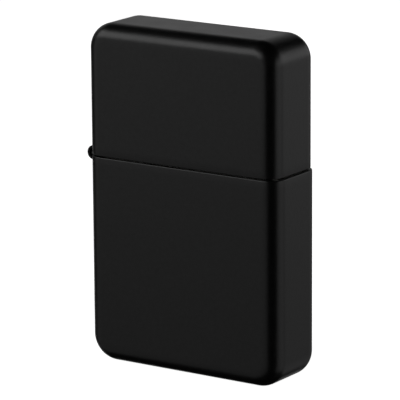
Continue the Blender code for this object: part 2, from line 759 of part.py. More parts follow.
def rivet(name, radius, x, z, steel):
    """An axle along Y with a head outside each ear."""
    inner = CHIMNEY_DEPTH / 2 + RUN_GAP
    outer = inner + RIVET_HEAD
    head = radius + RIVET_HEAD_OVERHANG
    crown = head * RIVET_CROWN
    upper = [(0, outer), (crown, outer), (head, outer - RIVET_HEAD / 2), (head, inner), (radius, inner)]
    profile = upper + [(radius, -along) for radius, along in reversed(upper)]
    return turned(name, profile, steel, (x, 0, z), ALONG_Y)


# Cam


def cam(steel):
    """The skin round three discs: the body about the axle, the nose and the tail."""
    half = EAR_GAP / 2 - FIT_GAP
    bm = bmesh.new()
    for middle, radius in (((0, 0), CAM_RADIUS), (CAM_NOSE, CAM_TIP_RADIUS), (CAM_TAIL, CAM_TIP_RADIUS)):
        for x, z in arc(middle, radius, 0, 360 * 23 / 24, 23):
            for y in (-half, half):
                bm.verts.new((CAM_X + x, y, CAM_Z + z))
    skin = bmesh.ops.convex_hull(bm, input=bm.verts)
    inner = [v for v in skin["geom_interior"] if isinstance(v, bmesh.types.BMVert)]
    bmesh.ops.delete(bm, geom=inner, context="VERTS")
    bmesh.ops.recalc_face_normals(bm, faces=bm.faces)
    obj = place("cam", mesh_of(bm, "cam"), steel)
    set_origin(obj, (CAM_X, 0, CAM_Z))
    cut(obj, axle_hole("cam_bore", CAM_RIVET_RADIUS, CAM_X, CAM_Z))
    return obj


def cam_spring(steel):
    """A leaf that rises from the tank wall to the underside of the cam's tail."""
    wall_x = INSERT_LEFT + SHEET + FIT_GAP + CAM_SPRING_THICKNESS / 2
    tail_x = CAM_X + CAM_TAIL[0]
    end_z = CAM_Z + CAM_TAIL[1] - CAM_TIP_RADIUS - FIT_GAP - CAM_SPRING_THICKNESS / 2
    bend_z = PACKING_TOP + CAM_SPRING_THICKNESS
    path = [
        (wall_x, SHOULDER_Z - CAM_SPRING_FOOT),
        (wall_x, bend_z),
        (CAM_X, (bend_z + DECK_TOP - DECK_THICKNESS) / 2),
        (tail_x - CAM_TIP_RADIUS, DECK_TOP + DECK_THICKNESS),
        (tail_x - CAM_TIP_RADIUS, end_z - CAM_SPRING_THICKNESS),
        (tail_x, end_z),
    ]
    obj = strip("cam_spring", path, CAM_SPRING_WIDTH, CAM_SPRING_THICKNESS, steel)
    start = (wall_x - PAST, 0, SPRING_RIVET_Z)
    hole = cylinder("cam_spring_hole", SPRING_RIVET_RADIUS + RUN_GAP, start, 2 * PAST, ALONG_X)
    cut(obj, place("cam_spring_hole", hole))
    return obj


def cam_spring_rivet(steel):
    """Flush with the outside of the tank wall, with its head on the spring."""
    shank = SHEET + 2 * FIT_GAP + CAM_SPRING_THICKNESS
    head = SPRING_RIVET_RADIUS + RIVET_HEAD_OVERHANG
    profile = [
        (0, shank + RIVET_HEAD), (head * RIVET_CROWN, shank + RIVET_HEAD), (head, shank + RIVET_HEAD / 2),
        (head, shank), (SPRING_RIVET_RADIUS, shank), (SPRING_RIVET_RADIUS, 0), (0, 0),
    ]
    start = (INSERT_LEFT, 0, SPRING_RIVET_Z)
    return turned("cam_spring_rivet", profile, steel, start, ALONG_X)


# Bodies


def body(name, point, pieces):
    """An empty on a joint's axis that its pieces hang on."""
    empty = bpy.data.objects.new(name, None)
    empty.location = point
    parts.objects.link(empty)
    for piece in pieces:
        hang(piece, empty)
    return empty


def lighter():
    start_scene()
    black = finish("black_coat", (0.012, 0.012, 0.013), 0.45, 0.0)
    steel = finish("stainless_steel", (0.55, 0.55, 0.54), 0.3, 1.0)
    hard_steel = finish("hardened_steel", (0.30, 0.29, 0.28), 0.45, 1.0)
    brass = finish("brass", (0.72, 0.52, 0.22), 0.3, 1.0)
    grey = finish("ferrocerium", (0.22, 0.21, 0.20), 0.6, 0.8)
    cotton = finish("cotton", (0.85, 0.83, 0.78), 0.95, 0.0)
    felt = finish("felt", (0.55, 0.54, 0.50), 0.95, 0.0)

    bottom, lid = case(black)
    lower_leaf = leaf("hinge_leaf_lower", -1, range(0, KNUCKLES, 2), steel)
    upper_leaf = leaf("hinge_leaf_upper", 1, range(1, KNUCKLES, 2), steel)
    body("case", (0, 0, 0), [bottom, lower_leaf, hinge_pin(steel)])
    body("lid", (HINGE_X, 0, HINGE_Z), [lid, upper_leaf, stop_plate(steel)])

    wheel = flint_wheel(hard_steel)
    lever = cam(steel)
    follower = body("flint_follower", (WHEEL_X, 0, FLINT_TOP), [flint(grey), spring_tip(brass)])
    body(
        "insert",
        ((INSERT_LEFT + INSERT_RIGHT) / 2, 0, INSERT_BOTTOM),
        [
            insert_case(steel),
            insert_deck(steel),
            felt_pad(felt),
            wick(cotton),
            *packing(cotton),
            flint_tube(brass),
            flint_spring(hard_steel),
            flint_screw(brass),
            rivet("wheel_rivet", WHEEL_RIVET_RADIUS, WHEEL_X, WHEEL_Z, steel),
            rivet("cam_rivet", CAM_RIVET_RADIUS, CAM_X, CAM_Z, steel),
            cam_spring(hard_steel),
            cam_spring_rivet(steel),
            wheel,
            lever,
            follower,
        ],
    )


lighter()
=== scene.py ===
"""Looks of a matte black pocket lighter: fine shells, hinge, inside unit, materials, light and camera.

Everything is in metres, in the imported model's frame: +Z up, the hinge at -X and the front facing -Y.
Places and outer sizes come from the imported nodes, and the sizes named below are those that a box can't give.
"""

import json
import math
import random

import bmesh
import bpy
from mathutils import Matrix, Vector, noise

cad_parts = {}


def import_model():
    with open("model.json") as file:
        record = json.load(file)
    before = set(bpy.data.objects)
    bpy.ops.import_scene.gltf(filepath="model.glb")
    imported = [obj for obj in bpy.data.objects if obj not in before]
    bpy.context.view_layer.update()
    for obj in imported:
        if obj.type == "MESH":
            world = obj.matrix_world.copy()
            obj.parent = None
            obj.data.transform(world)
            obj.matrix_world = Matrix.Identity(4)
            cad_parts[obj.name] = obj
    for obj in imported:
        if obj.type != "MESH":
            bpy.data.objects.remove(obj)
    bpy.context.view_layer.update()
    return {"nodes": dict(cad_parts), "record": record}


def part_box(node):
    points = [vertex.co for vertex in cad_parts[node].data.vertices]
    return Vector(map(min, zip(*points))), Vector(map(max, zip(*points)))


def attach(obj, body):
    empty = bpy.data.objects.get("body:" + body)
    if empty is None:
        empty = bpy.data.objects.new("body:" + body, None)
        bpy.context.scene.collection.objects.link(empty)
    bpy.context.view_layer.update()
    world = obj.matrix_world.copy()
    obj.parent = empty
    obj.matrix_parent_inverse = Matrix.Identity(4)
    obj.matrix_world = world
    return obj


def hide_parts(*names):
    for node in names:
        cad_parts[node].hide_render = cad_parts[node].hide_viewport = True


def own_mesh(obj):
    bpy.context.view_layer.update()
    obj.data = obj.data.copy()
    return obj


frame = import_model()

# Case
WALL = 0.0007
FOOT_CORNER = 0.0045
CROWN_CORNER = 0.0042
EDGE_ROUNDING = 0.0028
FOOT_RIM_ROUNDING = 0.00022
CROWN_RIM_ROUNDING = 0.00014
FLAT_MARGIN = 0.0004  # flat strip that keeps the shading of a face level up to its rounded edge
NOTCH_GAP = 0.0003
CORNER_STEPS = 20
EDGE_STEPS = 16

# Hinge
KNUCKLES = 5
KNUCKLE_GAP = 0.0002
PIN_CLEARANCE = 0.0002
PIN_BORE = 0.0007
PIN_EDGE = 0.00018
KNUCKLE_EDGE = 0.00008
WEB_INSET = 0.00005  # keeps the webs inside the barrel's skin
LEAF_THICKNESS = 0.00045
LEAF_CORNER = 0.0010
WELD_PLACE = 0.55  # middle of the welds, as a share of the leaf's flat part
WELD_ACROSS = 0.0022  # from there to each weld, along Y and along Z
WELD_UP = 0.0013
WELD_PROFILE = ((0, 0.00009), (0.00022, 0.00008), (0.00042, 0.00002), (0.00047, -0.00010), (0, -0.00010))
STOP_LIP_OUT = 0.0036  # end of the stop plate's lip, from the hinge axis
STOP_LIP_UP = 0.0010
STOP_BEND = 0.0008
STOP_BEND_RADIUS = 0.0004

# Inside unit
SHEET = 0.0005
SHOULDER_RISE = 0.0020  # shoulder above the seam
SHOULDER_EDGE = 0.0004
LEDGE = 0.00115
CHIMNEY_CORNER = 0.0028
CHIMNEY_EDGE = 0.00012
AIR_HOLES = (3, 2, 3)  # in each row
AIR_HOLE_RADIUS = 0.00085
AIR_HOLE_PITCH = 0.0032
AIR_HOLE_ROW = 0.0032
AIR_HOLE_DROP = 0.0040
EAR_INSET = 0.000025
RUN_GAP = 0.00025  # round an axle
RIVET_HEAD = 0.0005
RIVET_CROWN = 0.000375  # height of the domed part of a head
RIVET_SHANK = 0.0006

# Striker
SMALL_EDGE = 0.0001  # of turned pieces
WHEEL_TEETH = 28
WHEEL_ROWS = 22
WHEEL_CHAMFER = 0.00025
RIM_INSET = 0.00002
TOOTH_DEPTH = 0.00025
TOOTH_SLOPE = 0.75  # depths of a tooth's slope and of the groove across it, as shares
GROOVE_DEPTH = 0.45
TOOTH_SLANT = 0.8  # how far each runs round the wheel from side to side, in teeth
GROOVE_SLANT = 3.2
GROOVE_HALF = 0.18
WHEEL_MARGIN = 0.0010  # from each side of the rim to an ear
WHEEL_SPACE = 0.0005  # between the chimney and the wheel
WHEEL_HUB = 0.00176
WHEEL_RIVET = 0.00075
WHEEL_EAR = 0.0022
TUBE_WALL = 0.0004
FLINT_EDGE = 0.00015
TIP_NECK_LENGTH = 0.0007
TIP_NECK_RADIUS = 0.0006
SPRING_WIRE = 0.00022
SPRING_TURNS = 11
POINTS_PER_TURN = 28
SCREW_SHANK = 0.00115
SCREW_HEAD_HEIGHT = 0.0009
SCREW_SLOT = 0.0006
SCREW_POINT = 0.8  # radius of the shank's end, as a share
THREAD_START = 0.0002  # below the shank's end
THREAD_PITCH = 0.00045
THREAD_DEPTH = 0.00014
THREAD_ROWS = 120
KNURLS = 36
KNURL_DEPTH = 0.00006

# Cam
CAM_SPACE = 0.0046  # from the cam axis to the chimney
CAM_RADIUS = 0.0023
CAM_TIP = 0.0006
CAM_NOSE = (-0.0027, -0.00155)
CAM_TAIL = (0.0020, -0.0015)
CAM_EDGE = 0.00022
CAM_EAR = 0.0020
CAM_SPRING_THICKNESS = 0.00035
CAM_SPRING_BEND = 0.0005

# Wick
WICK_OFFSET = -0.0011  # from the middle of the chimney
WICK_RADIUS = 0.0014
WICK_SWING = 0.0050
WICK_BENDS = 20
WICK_STEP = 0.00012
WICK_SIDES = 48
WICK_CORE = 0.86  # radius that the strands stand on, and their rise, as shares
STRAND_RISE = 0.12
STRANDS = 8
BRAID_PITCH = 0.00026
WICK_FRAY = 0.0011
FIBRES = 110
FIBRE_RADIUS = 0.00004
FIBRE_TAPER = (1, 0.85, 0.35)
FIBRE_SIDES = (0, 2.094, 4.189)  # the corners of its three-sided section, in radians
FIBRE_SPREAD = 0.85  # shares of the wick's radius
FIBRE_LEAN = (-0.1, 0.3)
FIBRE_ROOT = 1.3  # shares of the fray's height
FIBRE_LENGTH = (0.6, 1.25)
FIBRE_BEND = 0.00012

# Soft pieces
LUMPS_IN = 0.9  # how far lumps and fibres are drawn in, as shares of their size
FIBRES_IN = 0.5
OTHER_NOISE = Vector((7, 3, 5))

PAST = 0.0020  # how far a cutter runs past what it cuts
OVERLAP = 0.00002  # keeps faces that meet from coinciding
NEARLY_NOTHING = 1e-6
SLIVER = 0.000002  # what a cut leaves that is thinner than this is closed up

# Camera
CAMERA_AZIMUTH = 33.813
CAMERA_ELEVATION = 13.494
CAMERA_ROLL = -0.381
CAMERA_DISTANCE = 0.54298
CAMERA_TARGET = (-0.00028, 0, 0.02829)
CAMERA_LENS = 298.84
CAMERA_SENSOR = 36

STAGE_RADIUS = 2.5
STAGE_HEIGHT = 3.0
STAGE_CURVE = 0.8
STAGE_STEPS = 12
STAGE_SIDES = 64
WORLD_LIGHT = 0.006

SOFTBOX_DISTANCE = 0.3
SOFTBOXES = {  # the azimuths and elevations that each spans, in degrees, and its radiance
    "front_fill": (-75, 9, -14, 10, 0.39),
    "front_low": (-75, 9, -50, -14, 0.20),
    "front_key": (-75, -5, 19, 47, 1.75),
    "side_edge": (79, 118, -14, 8, 0.54),
    "side_edge_low": (79, 118, -46, -14, 0.36),
    "side_fill": (118, 172, -14, 8, 0.33),
    "side_low": (118, 172, -44, -14, 0.20),
    "side_key": (84, 172, 6, 27, 0.78),
    "rear_key": (190, 250, -5, 35, 0.34),
    "rear_low": (196, 250, -42, -8, 0.44),
}

case_low, case_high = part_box("case_bottom")
lid_low, lid_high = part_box("case_lid")
pin_low, pin_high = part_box("hinge_pin")
HINGE_X = (pin_low.x + pin_high.x) / 2
HINGE_Z = (pin_low.z + pin_high.z) / 2
BARREL_HALF = (pin_high.y - pin_low.y) / 2
BARREL_RADIUS = HINGE_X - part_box("hinge_leaf_lower")[0].x
NOTCH_HALF = BARREL_HALF + NOTCH_GAP
NOTCH_REACH = BARREL_RADIUS + NOTCH_GAP
HALF_DEPTH = case_high.y
unit_low, unit_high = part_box("insert_case")
deck_low, deck_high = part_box("insert_deck")
SHOULDER_Z = (case_high.z + lid_low.z) / 2 + SHOULDER_RISE
ROOT_Z = SHOULDER_Z - SHEET - NOTCH_GAP  # foot of what stands on the shoulder
CHIMNEY_HALF = unit_high.y - LEDGE
RIM_HALF = CHIMNEY_HALF - SHEET - WHEEL_MARGIN


def axle(node):
    """The (x, z) middle of a piece that turns on an axle along Y."""
    low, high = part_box(node)
    return (low.x + high.x) / 2, (low.z + high.z) / 2


WHEEL_X, WHEEL_Z = axle("wheel_rivet")
CAM_X, CAM_Z = axle("cam_rivet")
RIVET_Z = axle("cam_spring_rivet")[1]
RIVET_BORE = RIVET_SHANK + RUN_GAP
WHEEL_BORE = WHEEL_RIVET + RUN_GAP
WHEEL_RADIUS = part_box("flint_wheel")[1].x - WHEEL_X
CHIMNEY_LEFT = CAM_X + CAM_SPACE
CHIMNEY_RIGHT = WHEEL_X - WHEEL_RADIUS - WHEEL_SPACE
CHIMNEY_MIDDLE = (CHIMNEY_LEFT + CHIMNEY_RIGHT) / 2
WICK_X = CHIMNEY_MIDDLE + WICK_OFFSET
BODY_OF = {
    node: body for body, nodes in frame["record"]["behaviour"]["bodies"].items() for node in nodes
}

ALONG_Y = Matrix.Rotation(-math.pi / 2, 4, "X")  # turns what stands along Z to lie along Y
ALONG_X = Matrix.Rotation(math.pi / 2, 4, "Y")  # turns what stands along Z to lie along X
PAST_END = Vector((0, 0, PAST))


# Meshes


def piece(name, bm, *materials):
    """A new object of this bmesh, which is used up."""
    mesh = bpy.data.meshes.new(name)
    bm.to_mesh(mesh)
    bm.free()
    for material in materials:
        mesh.materials.append(material)
    obj = bpy.data.objects.new(name, mesh)
    bpy.context.scene.collection.objects.link(obj)
    return obj


def smooth(obj, degrees=35):
    obj.data.shade_smooth()
    obj.data.set_sharp_from_angle(angle=math.radians(degrees))


def apply_modifiers(obj):
    graph = bpy.context.evaluated_depsgraph_get()
    mesh = bpy.data.meshes.new_from_object(obj.evaluated_get(graph))
    obj.modifiers.clear()
    old = obj.data
    obj.data = mesh
    mesh.name = obj.name
    bpy.data.meshes.remove(old)


def stand_in(obj, node):
    """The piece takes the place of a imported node: it rides on the node's body and hides it."""
    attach(obj, BODY_OF[node])
    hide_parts(node)
    return obj


def carry(node, material):
    """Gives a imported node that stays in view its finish."""
    for material_slot in frame["nodes"][node].material_slots:
        material_slot.material = material


# Basic shapes


def combine(obj, steps):
    """Cuts and joins, each an operation, a name and the bmesh that is taken away or added."""
    others = []
    for operation, name, bm in steps:
        others.append(piece(name, bm))
        modifier = obj.modifiers.new(name, "BOOLEAN")
        modifier.operation = operation
        modifier.solver = "EXACT"
        modifier.object = others[-1]
    apply_modifiers(obj)
    for other in others:
        bpy.data.objects.remove(other, do_unlink=True)
    bm = bmesh.new()
    bm.from_mesh(obj.data)
    bmesh.ops.remove_doubles(bm, verts=bm.verts, dist=SLIVER)
    bmesh.ops.dissolve_degenerate(bm, edges=bm.edges, dist=SLIVER)
    bm.to_mesh(obj.data)
    bm.free()


def skin(bm, rings):
    """Faces between each ring of points and the next."""
    sides = len(rings[0])
    for first, second in zip(rings, rings[1:]):
        for step in range(sides):
            after = (step + 1) % sides
            bm.faces.new((first[step], first[after], second[after], second[step]))


def weight_normals(obj):
    """Lets large faces rule the shading, so that the thin faces left by cuts don't show."""
    weighted = obj.modifiers.new("weighted", "WEIGHTED_NORMAL")
    weighted.mode = "FACE_AREA"
    weighted.keep_sharp = True
    apply_modifiers(obj)


def bevel(bm, edges, radius, segments):
    bmesh.ops.bevel(
        bm, geom=edges, offset=radius, segments=segments, profile=0.5, affect="EDGES", clamp_overlap=True
    )


def runs_along(edge, axis):
    first, second = edge.verts
    return abs(first.co[axis] - second.co[axis]) > NEARLY_NOTHING


def block(low, high, upright_radius=0, top_radius=0, segments=10):
    """A box with its four upright edges rounded, and then the edges of its top."""
    bm = bmesh.new()
    bmesh.ops.create_cube(bm, size=1)
    low, high = Vector(low), Vector(high)
    bmesh.ops.scale(bm, vec=high - low, verts=bm.verts)
    bmesh.ops.translate(bm, vec=(low + high) / 2, verts=bm.verts)
    if upright_radius:
        bevel(bm, [e for e in bm.edges if runs_along(e, 2)], upright_radius, segments)
    if top_radius:
        top = [e for e in bm.edges if all(v.co.z > high.z - NEARLY_NOTHING for v in e.verts)]
        bevel(bm, top, top_radius, segments=4)
    return bm


def drums(middles, radius, length, steps=40):
    """Cylinders along Y about these (x, z) middles, in one mesh."""
    bm = bmesh.new()
    for x, z in middles:
        bmesh.ops.create_cone(
            bm, cap_ends=True, cap_tris=False, segments=steps, radius1=radius, radius2=radius, depth=length,
            matrix=Matrix.Translation((x, 0, z)) @ Matrix.Rotation(math.pi / 2, 4, "X"),
        )
    return bm


def arc(centre, radius, start, end, steps):
    """Points from one angle to another, in degrees."""
    angles = (math.radians(start + (end - start) * i / steps) for i in range(steps + 1))
    return [(centre[0] + radius * math.cos(a), centre[1] + radius * math.sin(a)) for a in angles]


def circle(centre, radius, points):
    return arc(centre, radius, 0, 360 - 360 / points, points - 1)


def mesh_from_curve(obj):
    """Turns a curve object into a bmesh with welded caps, its faces turned outwards."""
    graph = bpy.context.evaluated_depsgraph_get()
    mesh = bpy.data.meshes.new_from_object(obj.evaluated_get(graph))
    bm = bmesh.new()
    bm.from_mesh(mesh)
    bmesh.ops.remove_doubles(bm, verts=bm.verts, dist=1e-7)
    bmesh.ops.recalc_face_normals(bm, faces=bm.faces)
    bpy.data.meshes.remove(mesh)
    bpy.data.objects.remove(obj, do_unlink=True)
    return bm


def curve_object(name, outlines, cyclic, flat):
    curve = bpy.data.curves.new(name, "CURVE")
    curve.dimensions = "2D" if flat else "3D"
    for points in outlines:
        spline = curve.splines.new("POLY")
        spline.points.add(len(points) - 1)
        for point, co in zip(spline.points, points):
            point.co = (*co, 1) if len(co) == 3 else (*co, 0, 1)
        spline.use_cyclic_u = cyclic
    obj = bpy.data.objects.new(name, curve)
    bpy.context.scene.collection.objects.link(obj)
    return obj


def plate(name, outlines, thickness, middle_y, edge=0.00006):
    """A flat plate in XZ with rounded edges, of these closed outlines, the later ones being its holes."""
    obj = curve_object(name, outlines, cyclic=True, flat=True)
    curve = obj.data
    curve.fill_mode = "BOTH"
    curve.extrude = thickness / 2 - edge
    curve.bevel_depth = edge
    curve.bevel_resolution = 2
    curve.offset = -edge
    bm = mesh_from_curve(obj)
    bmesh.ops.dissolve_limit(bm, angle_limit=math.radians(0.2), verts=bm.verts, edges=bm.edges)
    bm.transform(Matrix.Translation((0, middle_y, 0)) @ Matrix.Rotation(math.pi / 2, 4, "X"))
    return bm


def rod(name, points, radius, resolution=3):
    obj = curve_object(name, [points], cyclic=False, flat=False)
    obj.data.bevel_depth = radius
    obj.data.bevel_resolution = resolution
    obj.data.use_fill_caps = True
    return mesh_from_curve(obj)


def revolve(profile, centre, turn=Matrix(), steps=48, closed=False, shape=None):
    """A profile of (radius, along) points turned about +Z, then placed.

    shape(index, angle) gives how much the radius of a profile point changes at an angle.
    A closed profile makes a ring, and an open one starts and ends on the axis.
    """
    bm = bmesh.new()
    rings = []
    for index, (radius, along) in enumerate(profile):
        if radius == 0:
            rings.append([bm.verts.new((0, 0, along))])
            continue
        ring = []
        for step in range(steps):
            angle = 2 * math.pi * step / steps
            r = radius + (shape(index, angle) if shape else 0)
            ring.append(bm.verts.new((r * math.cos(angle), r * math.sin(angle), along)))
        rings.append(ring)
    pairs = list(zip(rings, rings[1:]))
    if closed:
        pairs.append((rings[-1], rings[0]))
    for first, second in pairs:
        for step in range(steps):
            after = (step + 1) % steps
            if len(first) == 1:
                bm.faces.new((first[0], second[step], second[after]))
            elif len(second) == 1:
                bm.faces.new((first[step], second[0], first[after]))
            else:
                bm.faces.new((first[step], second[step], second[after], first[after]))
    bmesh.ops.recalc_face_normals(bm, faces=bm.faces)
    bm.transform(Matrix.Translation(centre) @ turn)
    return bm


def fitted(node, material, bm, degrees=35):
    """A piece of this bmesh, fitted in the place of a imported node."""
    obj = piece(f"{node}_fine", bm, material)
    smooth(obj, degrees)
    return stand_in(obj, node)


def upright(node):
    """Radius, length and foot of a round piece on the wheel's centre line."""
    low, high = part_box(node)
    return (high.y - low.y) / 2, high.z - low.z, Vector((WHEEL_X, 0, low.z))


def rounded(profile, radius, steps=3):
    """The profile with its inner corners cut back by short arcs."""
    points = [profile[0]]
    for before, at, after in zip(profile, profile[1:], profile[2:]):
        at = Vector(at)
        back, on = Vector(before) - at, Vector(after) - at
        cut = min(radius, back.length * 0.45, on.length * 0.45)
        start, end = at + back.normalized() * cut, at + on.normalized() * cut
        for step in range(steps + 1):
            t = step / steps
            points.append(tuple(start * (1 - t) ** 2 + at * 2 * t * (1 - t) + end * t * t))
    points.append(profile[-1])
    return points


def bent_strip(name, path, width, thickness, bend_radius, material):
    """Sheet bent along a path of (x, z) points, with its width along Y and round bends."""
    bm = bmesh.new()
    line = rounded(path, bend_radius, steps=8)
    rows = [[bm.verts.new((x, y, z)) for y in (-width / 2, width / 2)] for x, z in line]
    for (a, b), (c, d) in zip(rows, rows[1:]):
        bm.faces.new((a, b, d, c))
    obj = piece(name, bm, material)
    solid = obj.modifiers.new("sheet", "SOLIDIFY")
    solid.thickness = thickness
    solid.offset = 0
    solid.use_even_offset = True
    edges = obj.modifiers.new("edges", "BEVEL")
    edges.width = thickness / 6
    edges.segments = 2
    edges.angle_limit = math.radians(60)
    edges.use_clamp_overlap = False
    apply_modifiers(obj)
    smooth(obj)
    return obj


# Materials


class Nodes:
    """Short names for the nodes of one material."""

    def __init__(self, name):
        self.material = bpy.data.materials.new(name)
        self.material.use_nodes = True
        self.tree = self.material.node_tree
        self.shader = self.tree.nodes["Principled BSDF"]

    def add(self, kind, **values):
        node = self.tree.nodes.new("ShaderNode" + kind)
        for key, value in values.items():
            if key in node.inputs:
                node.inputs[key].default_value = value
            else:
                setattr(node, key, value)
        return node

    def link(self, start, end):
        self.tree.links.new(start, end)

    def place(self, stretch=(1, 1, 1)):
        """The object's own coordinates in metres, stretched."""
        coordinates = self.add("TexCoord")
        mapping = self.add("Mapping")
        mapping.inputs["Scale"].default_value = stretch
        self.link(coordinates.outputs["Object"], mapping.inputs["Vector"])
        return mapping.outputs["Vector"]

    def noise(self, size, detail=3.0, vector=None, roughness=0.55):
        """Noise whose blotches are about size metres across."""
        node = self.add("TexNoise", Scale=1 / size, Detail=detail, Roughness=roughness)
        self.link(vector or self.place(), node.inputs["Vector"])
        return node.outputs["Fac"]

    def spread(self, value, low, high, start=0.3, end=0.7):
        """What runs from start to end, made to run from low to high."""
        node = self.add("MapRange")
        for key, number in (("From Min", start), ("From Max", end), ("To Min", low), ("To Max", high)):
            node.inputs[key].default_value = number
        self.link(value, node.inputs["Value"])
        return node.outputs["Result"]

    def feed(self, socket, value):
        """Links a node's output to a socket, or sets a colour or a number on it."""
        if isinstance(value, bpy.types.NodeSocket):
            self.link(value, socket)
        elif isinstance(value, tuple):
            socket.default_value = (*value, 1)
        else:
            socket.default_value = value

    def mix(self, factor, first, second):
        node = self.add("Mix", data_type="RGBA")
        self.feed(node.inputs["Factor"], factor)
        self.feed(node.inputs["A"], first)
        self.feed(node.inputs["B"], second)
        return node.outputs["Result"]

    def bump(self, height, distance, under=None):
        node = self.add("Bump", Strength=1.0, Distance=distance)
        self.link(height, node.inputs["Height"])
        if under:
            self.link(under, node.inputs["Normal"])
        return node.outputs["Normal"]

    def height(self, low, high):
        """Grows from 0 to 1 between two heights, with an uneven edge."""
        parts = self.add("SeparateXYZ")
        self.link(self.place(), parts.inputs["Vector"])
        uneven = self.add("Math", operation="MULTIPLY_ADD")
        self.link(self.noise(size=0.0012), uneven.inputs[0])
        uneven.inputs[1].default_value = high - low
        self.link(parts.outputs["Z"], uneven.inputs[2])
        half = (high - low) / 2
        return self.spread(uneven.outputs["Value"], 0, 1, low + half, high + half)

    def set(self, **values):
        for key, value in values.items():
            self.feed(self.shader.inputs[key.replace("_", " ")], value)


def black_coat():
    """Sprayed matte coat: a very fine grain, with a slightly uneven sheen."""
    made = Nodes("matte_black_coat")
    grain = made.bump(made.noise(size=0.00012, detail=2.0), distance=0.000006)
    grain = made.bump(made.noise(size=0.0006, detail=2.0), distance=0.000012, under=grain)
    cloud = made.noise(size=0.004)
    mottle = made.spread(made.noise(size=0.0007), 0, 1)
    made.set(
        Base_Color=made.mix(mottle, (0.0001, 0.0001, 0.0001), (0.0036, 0.0036, 0.0037)),
        Roughness=made.spread(cloud, 0.32, 0.36),
        Normal=grain,
    )
    return made.material


def bare_lining():
    """Drawn brass under a thin dull nickel plating, on the inside of the shells."""
    made = Nodes("bare_lining")
    drawn = made.noise(size=0.00025, detail=4.0, vector=made.place((1, 1, 0.04)))
    cloud = made.noise(size=0.005)
    made.set(
        Base_Color=made.mix(cloud, (0.38, 0.36, 0.33), (0.46, 0.44, 0.40)),
        Metallic=1.0,
        Roughness=made.spread(drawn, 0.30, 0.46),
        Normal=made.bump(drawn, distance=0.000004),
    )
    return made.material


def metal(name, dark, light, roughness, grain, relief, stretch=(1, 1, 1), stain=None):
    """Metal with a fine directional grain, cloudy handling marks and, where given, a stain above a height."""
    made = Nodes(name)
    fine = made.noise(grain, 4.0, made.place(stretch))
    cloud = made.noise(size=0.003, detail=4.0)
    colour = made.mix(made.spread(cloud, 0, 1), dark, light)
    rough = made.spread(fine, *roughness)
    if stain:
        low, high, tint = stain
        colour = made.mix(made.height(low, high), colour, tint)
    made.set(Base_Color=colour, Metallic=1.0, Roughness=rough, Normal=made.bump(fine, relief))
    return made.material


def black_steel():
    """Barrel and leaves, blackened."""
    return metal(
        "blackened_steel", dark=(0.010, 0.010, 0.010), light=(0.020, 0.020, 0.020),
        roughness=(0.28, 0.42), grain=0.0002, relief=0.000003, stretch=(1, 0.1, 1),
    )


def sheet_steel():
    """Brushed stainless sheet, its chimney warm and sooty towards the top."""
    return metal(
        "brushed_stainless", dark=(0.54, 0.54, 0.525), light=(0.66, 0.66, 0.64),
        roughness=(0.22, 0.38), grain=0.00009, relief=0.0000018, stretch=(1, 1, 0.03),
        stain=(unit_high.z - CHIMNEY_HALF, unit_high.z + CHIMNEY_HALF, (0.16, 0.13, 0.10)),
    )


def spring_steel():
    return metal(
        "spring_steel", dark=(0.30, 0.29, 0.28), light=(0.42, 0.41, 0.39),
        roughness=(0.26, 0.40), grain=0.0002, relief=0.000002,
    )


def wheel_steel():
    """Hardened steel, rough in its teeth."""
    return metal(
        "hardened_steel", dark=(0.16, 0.155, 0.15), light=(0.27, 0.26, 0.25),
        roughness=(0.34, 0.55), grain=0.00010, relief=0.000006,
    )


def brass():
    return metal(
        "brass", dark=(0.62, 0.42, 0.17), light=(0.74, 0.54, 0.24),
        roughness=(0.22, 0.38), grain=0.00014, relief=0.000002, stretch=(1, 1, 8),
    )


def ferrocerium():
    return metal(
        "ferrocerium", dark=(0.13, 0.12, 0.11), light=(0.22, 0.20, 0.18),
        roughness=(0.50, 0.72), grain=0.00014, relief=0.000010,
    )


def fibres(name, dark, light, size, relief, stretch=(1, 1, 1), scorch=None):
    """Cotton, felt or braid: matted fibres with some sheen, and where given scorched above a height."""
    made = Nodes(name)
    hairs = made.noise(size, detail=6.0, vector=made.place(stretch), roughness=0.7)
    wads = made.noise(size * 12)
    colour = made.mix(made.spread(wads, 0, 1), dark, light)
    if scorch:
        colour = made.mix(made.height(*scorch), colour, (0.035, 0.028, 0.022))
    made.set(
        Base_Color=colour,
        Roughness=made.spread(hairs, 0.85, 1.0),
        Normal=made.bump(hairs, relief, under=made.bump(wads, relief * 4)),
        Sheen_Weight=0.3,
        Sheen_Roughness=0.5,
    )
    return made.material


# Case


def notch_station(x, normal_x, open_z, centre_z):
    """A station at the level of the notch's end, so that the notch can be left out there."""
    z = HINGE_Z + math.copysign(NOTCH_REACH, centre_z - open_z)
    return Vector((x, 0, z)), Vector((normal_x, 0, 0))


def outline(left, right, closed_z, open_z, corner):
    """Points and outward normals round a shell seen from the front, from its left rim to its right rim."""
    inwards = 1 if closed_z < open_z else -1
    centre_z = closed_z + inwards * corner
    stations = [(Vector((left, 0, open_z)), Vector((-1, 0, 0))), notch_station(left, -1, open_z, centre_z)]
    for centre_x, start, end in ((left + corner, 180, 270), (right - corner, 270, 360)):
        for step in range(CORNER_STEPS + 1):
            angle = math.radians(start + (end - start) * step / CORNER_STEPS)
            normal = Vector((math.cos(angle), 0, inwards * math.sin(angle)))
            stations.append((Vector((centre_x, 0, centre_z)) + corner * normal, normal))
    stations += [notch_station(right, 1, open_z, centre_z), (Vector((right, 0, open_z)), Vector((1, 0, 0)))]
    return stations


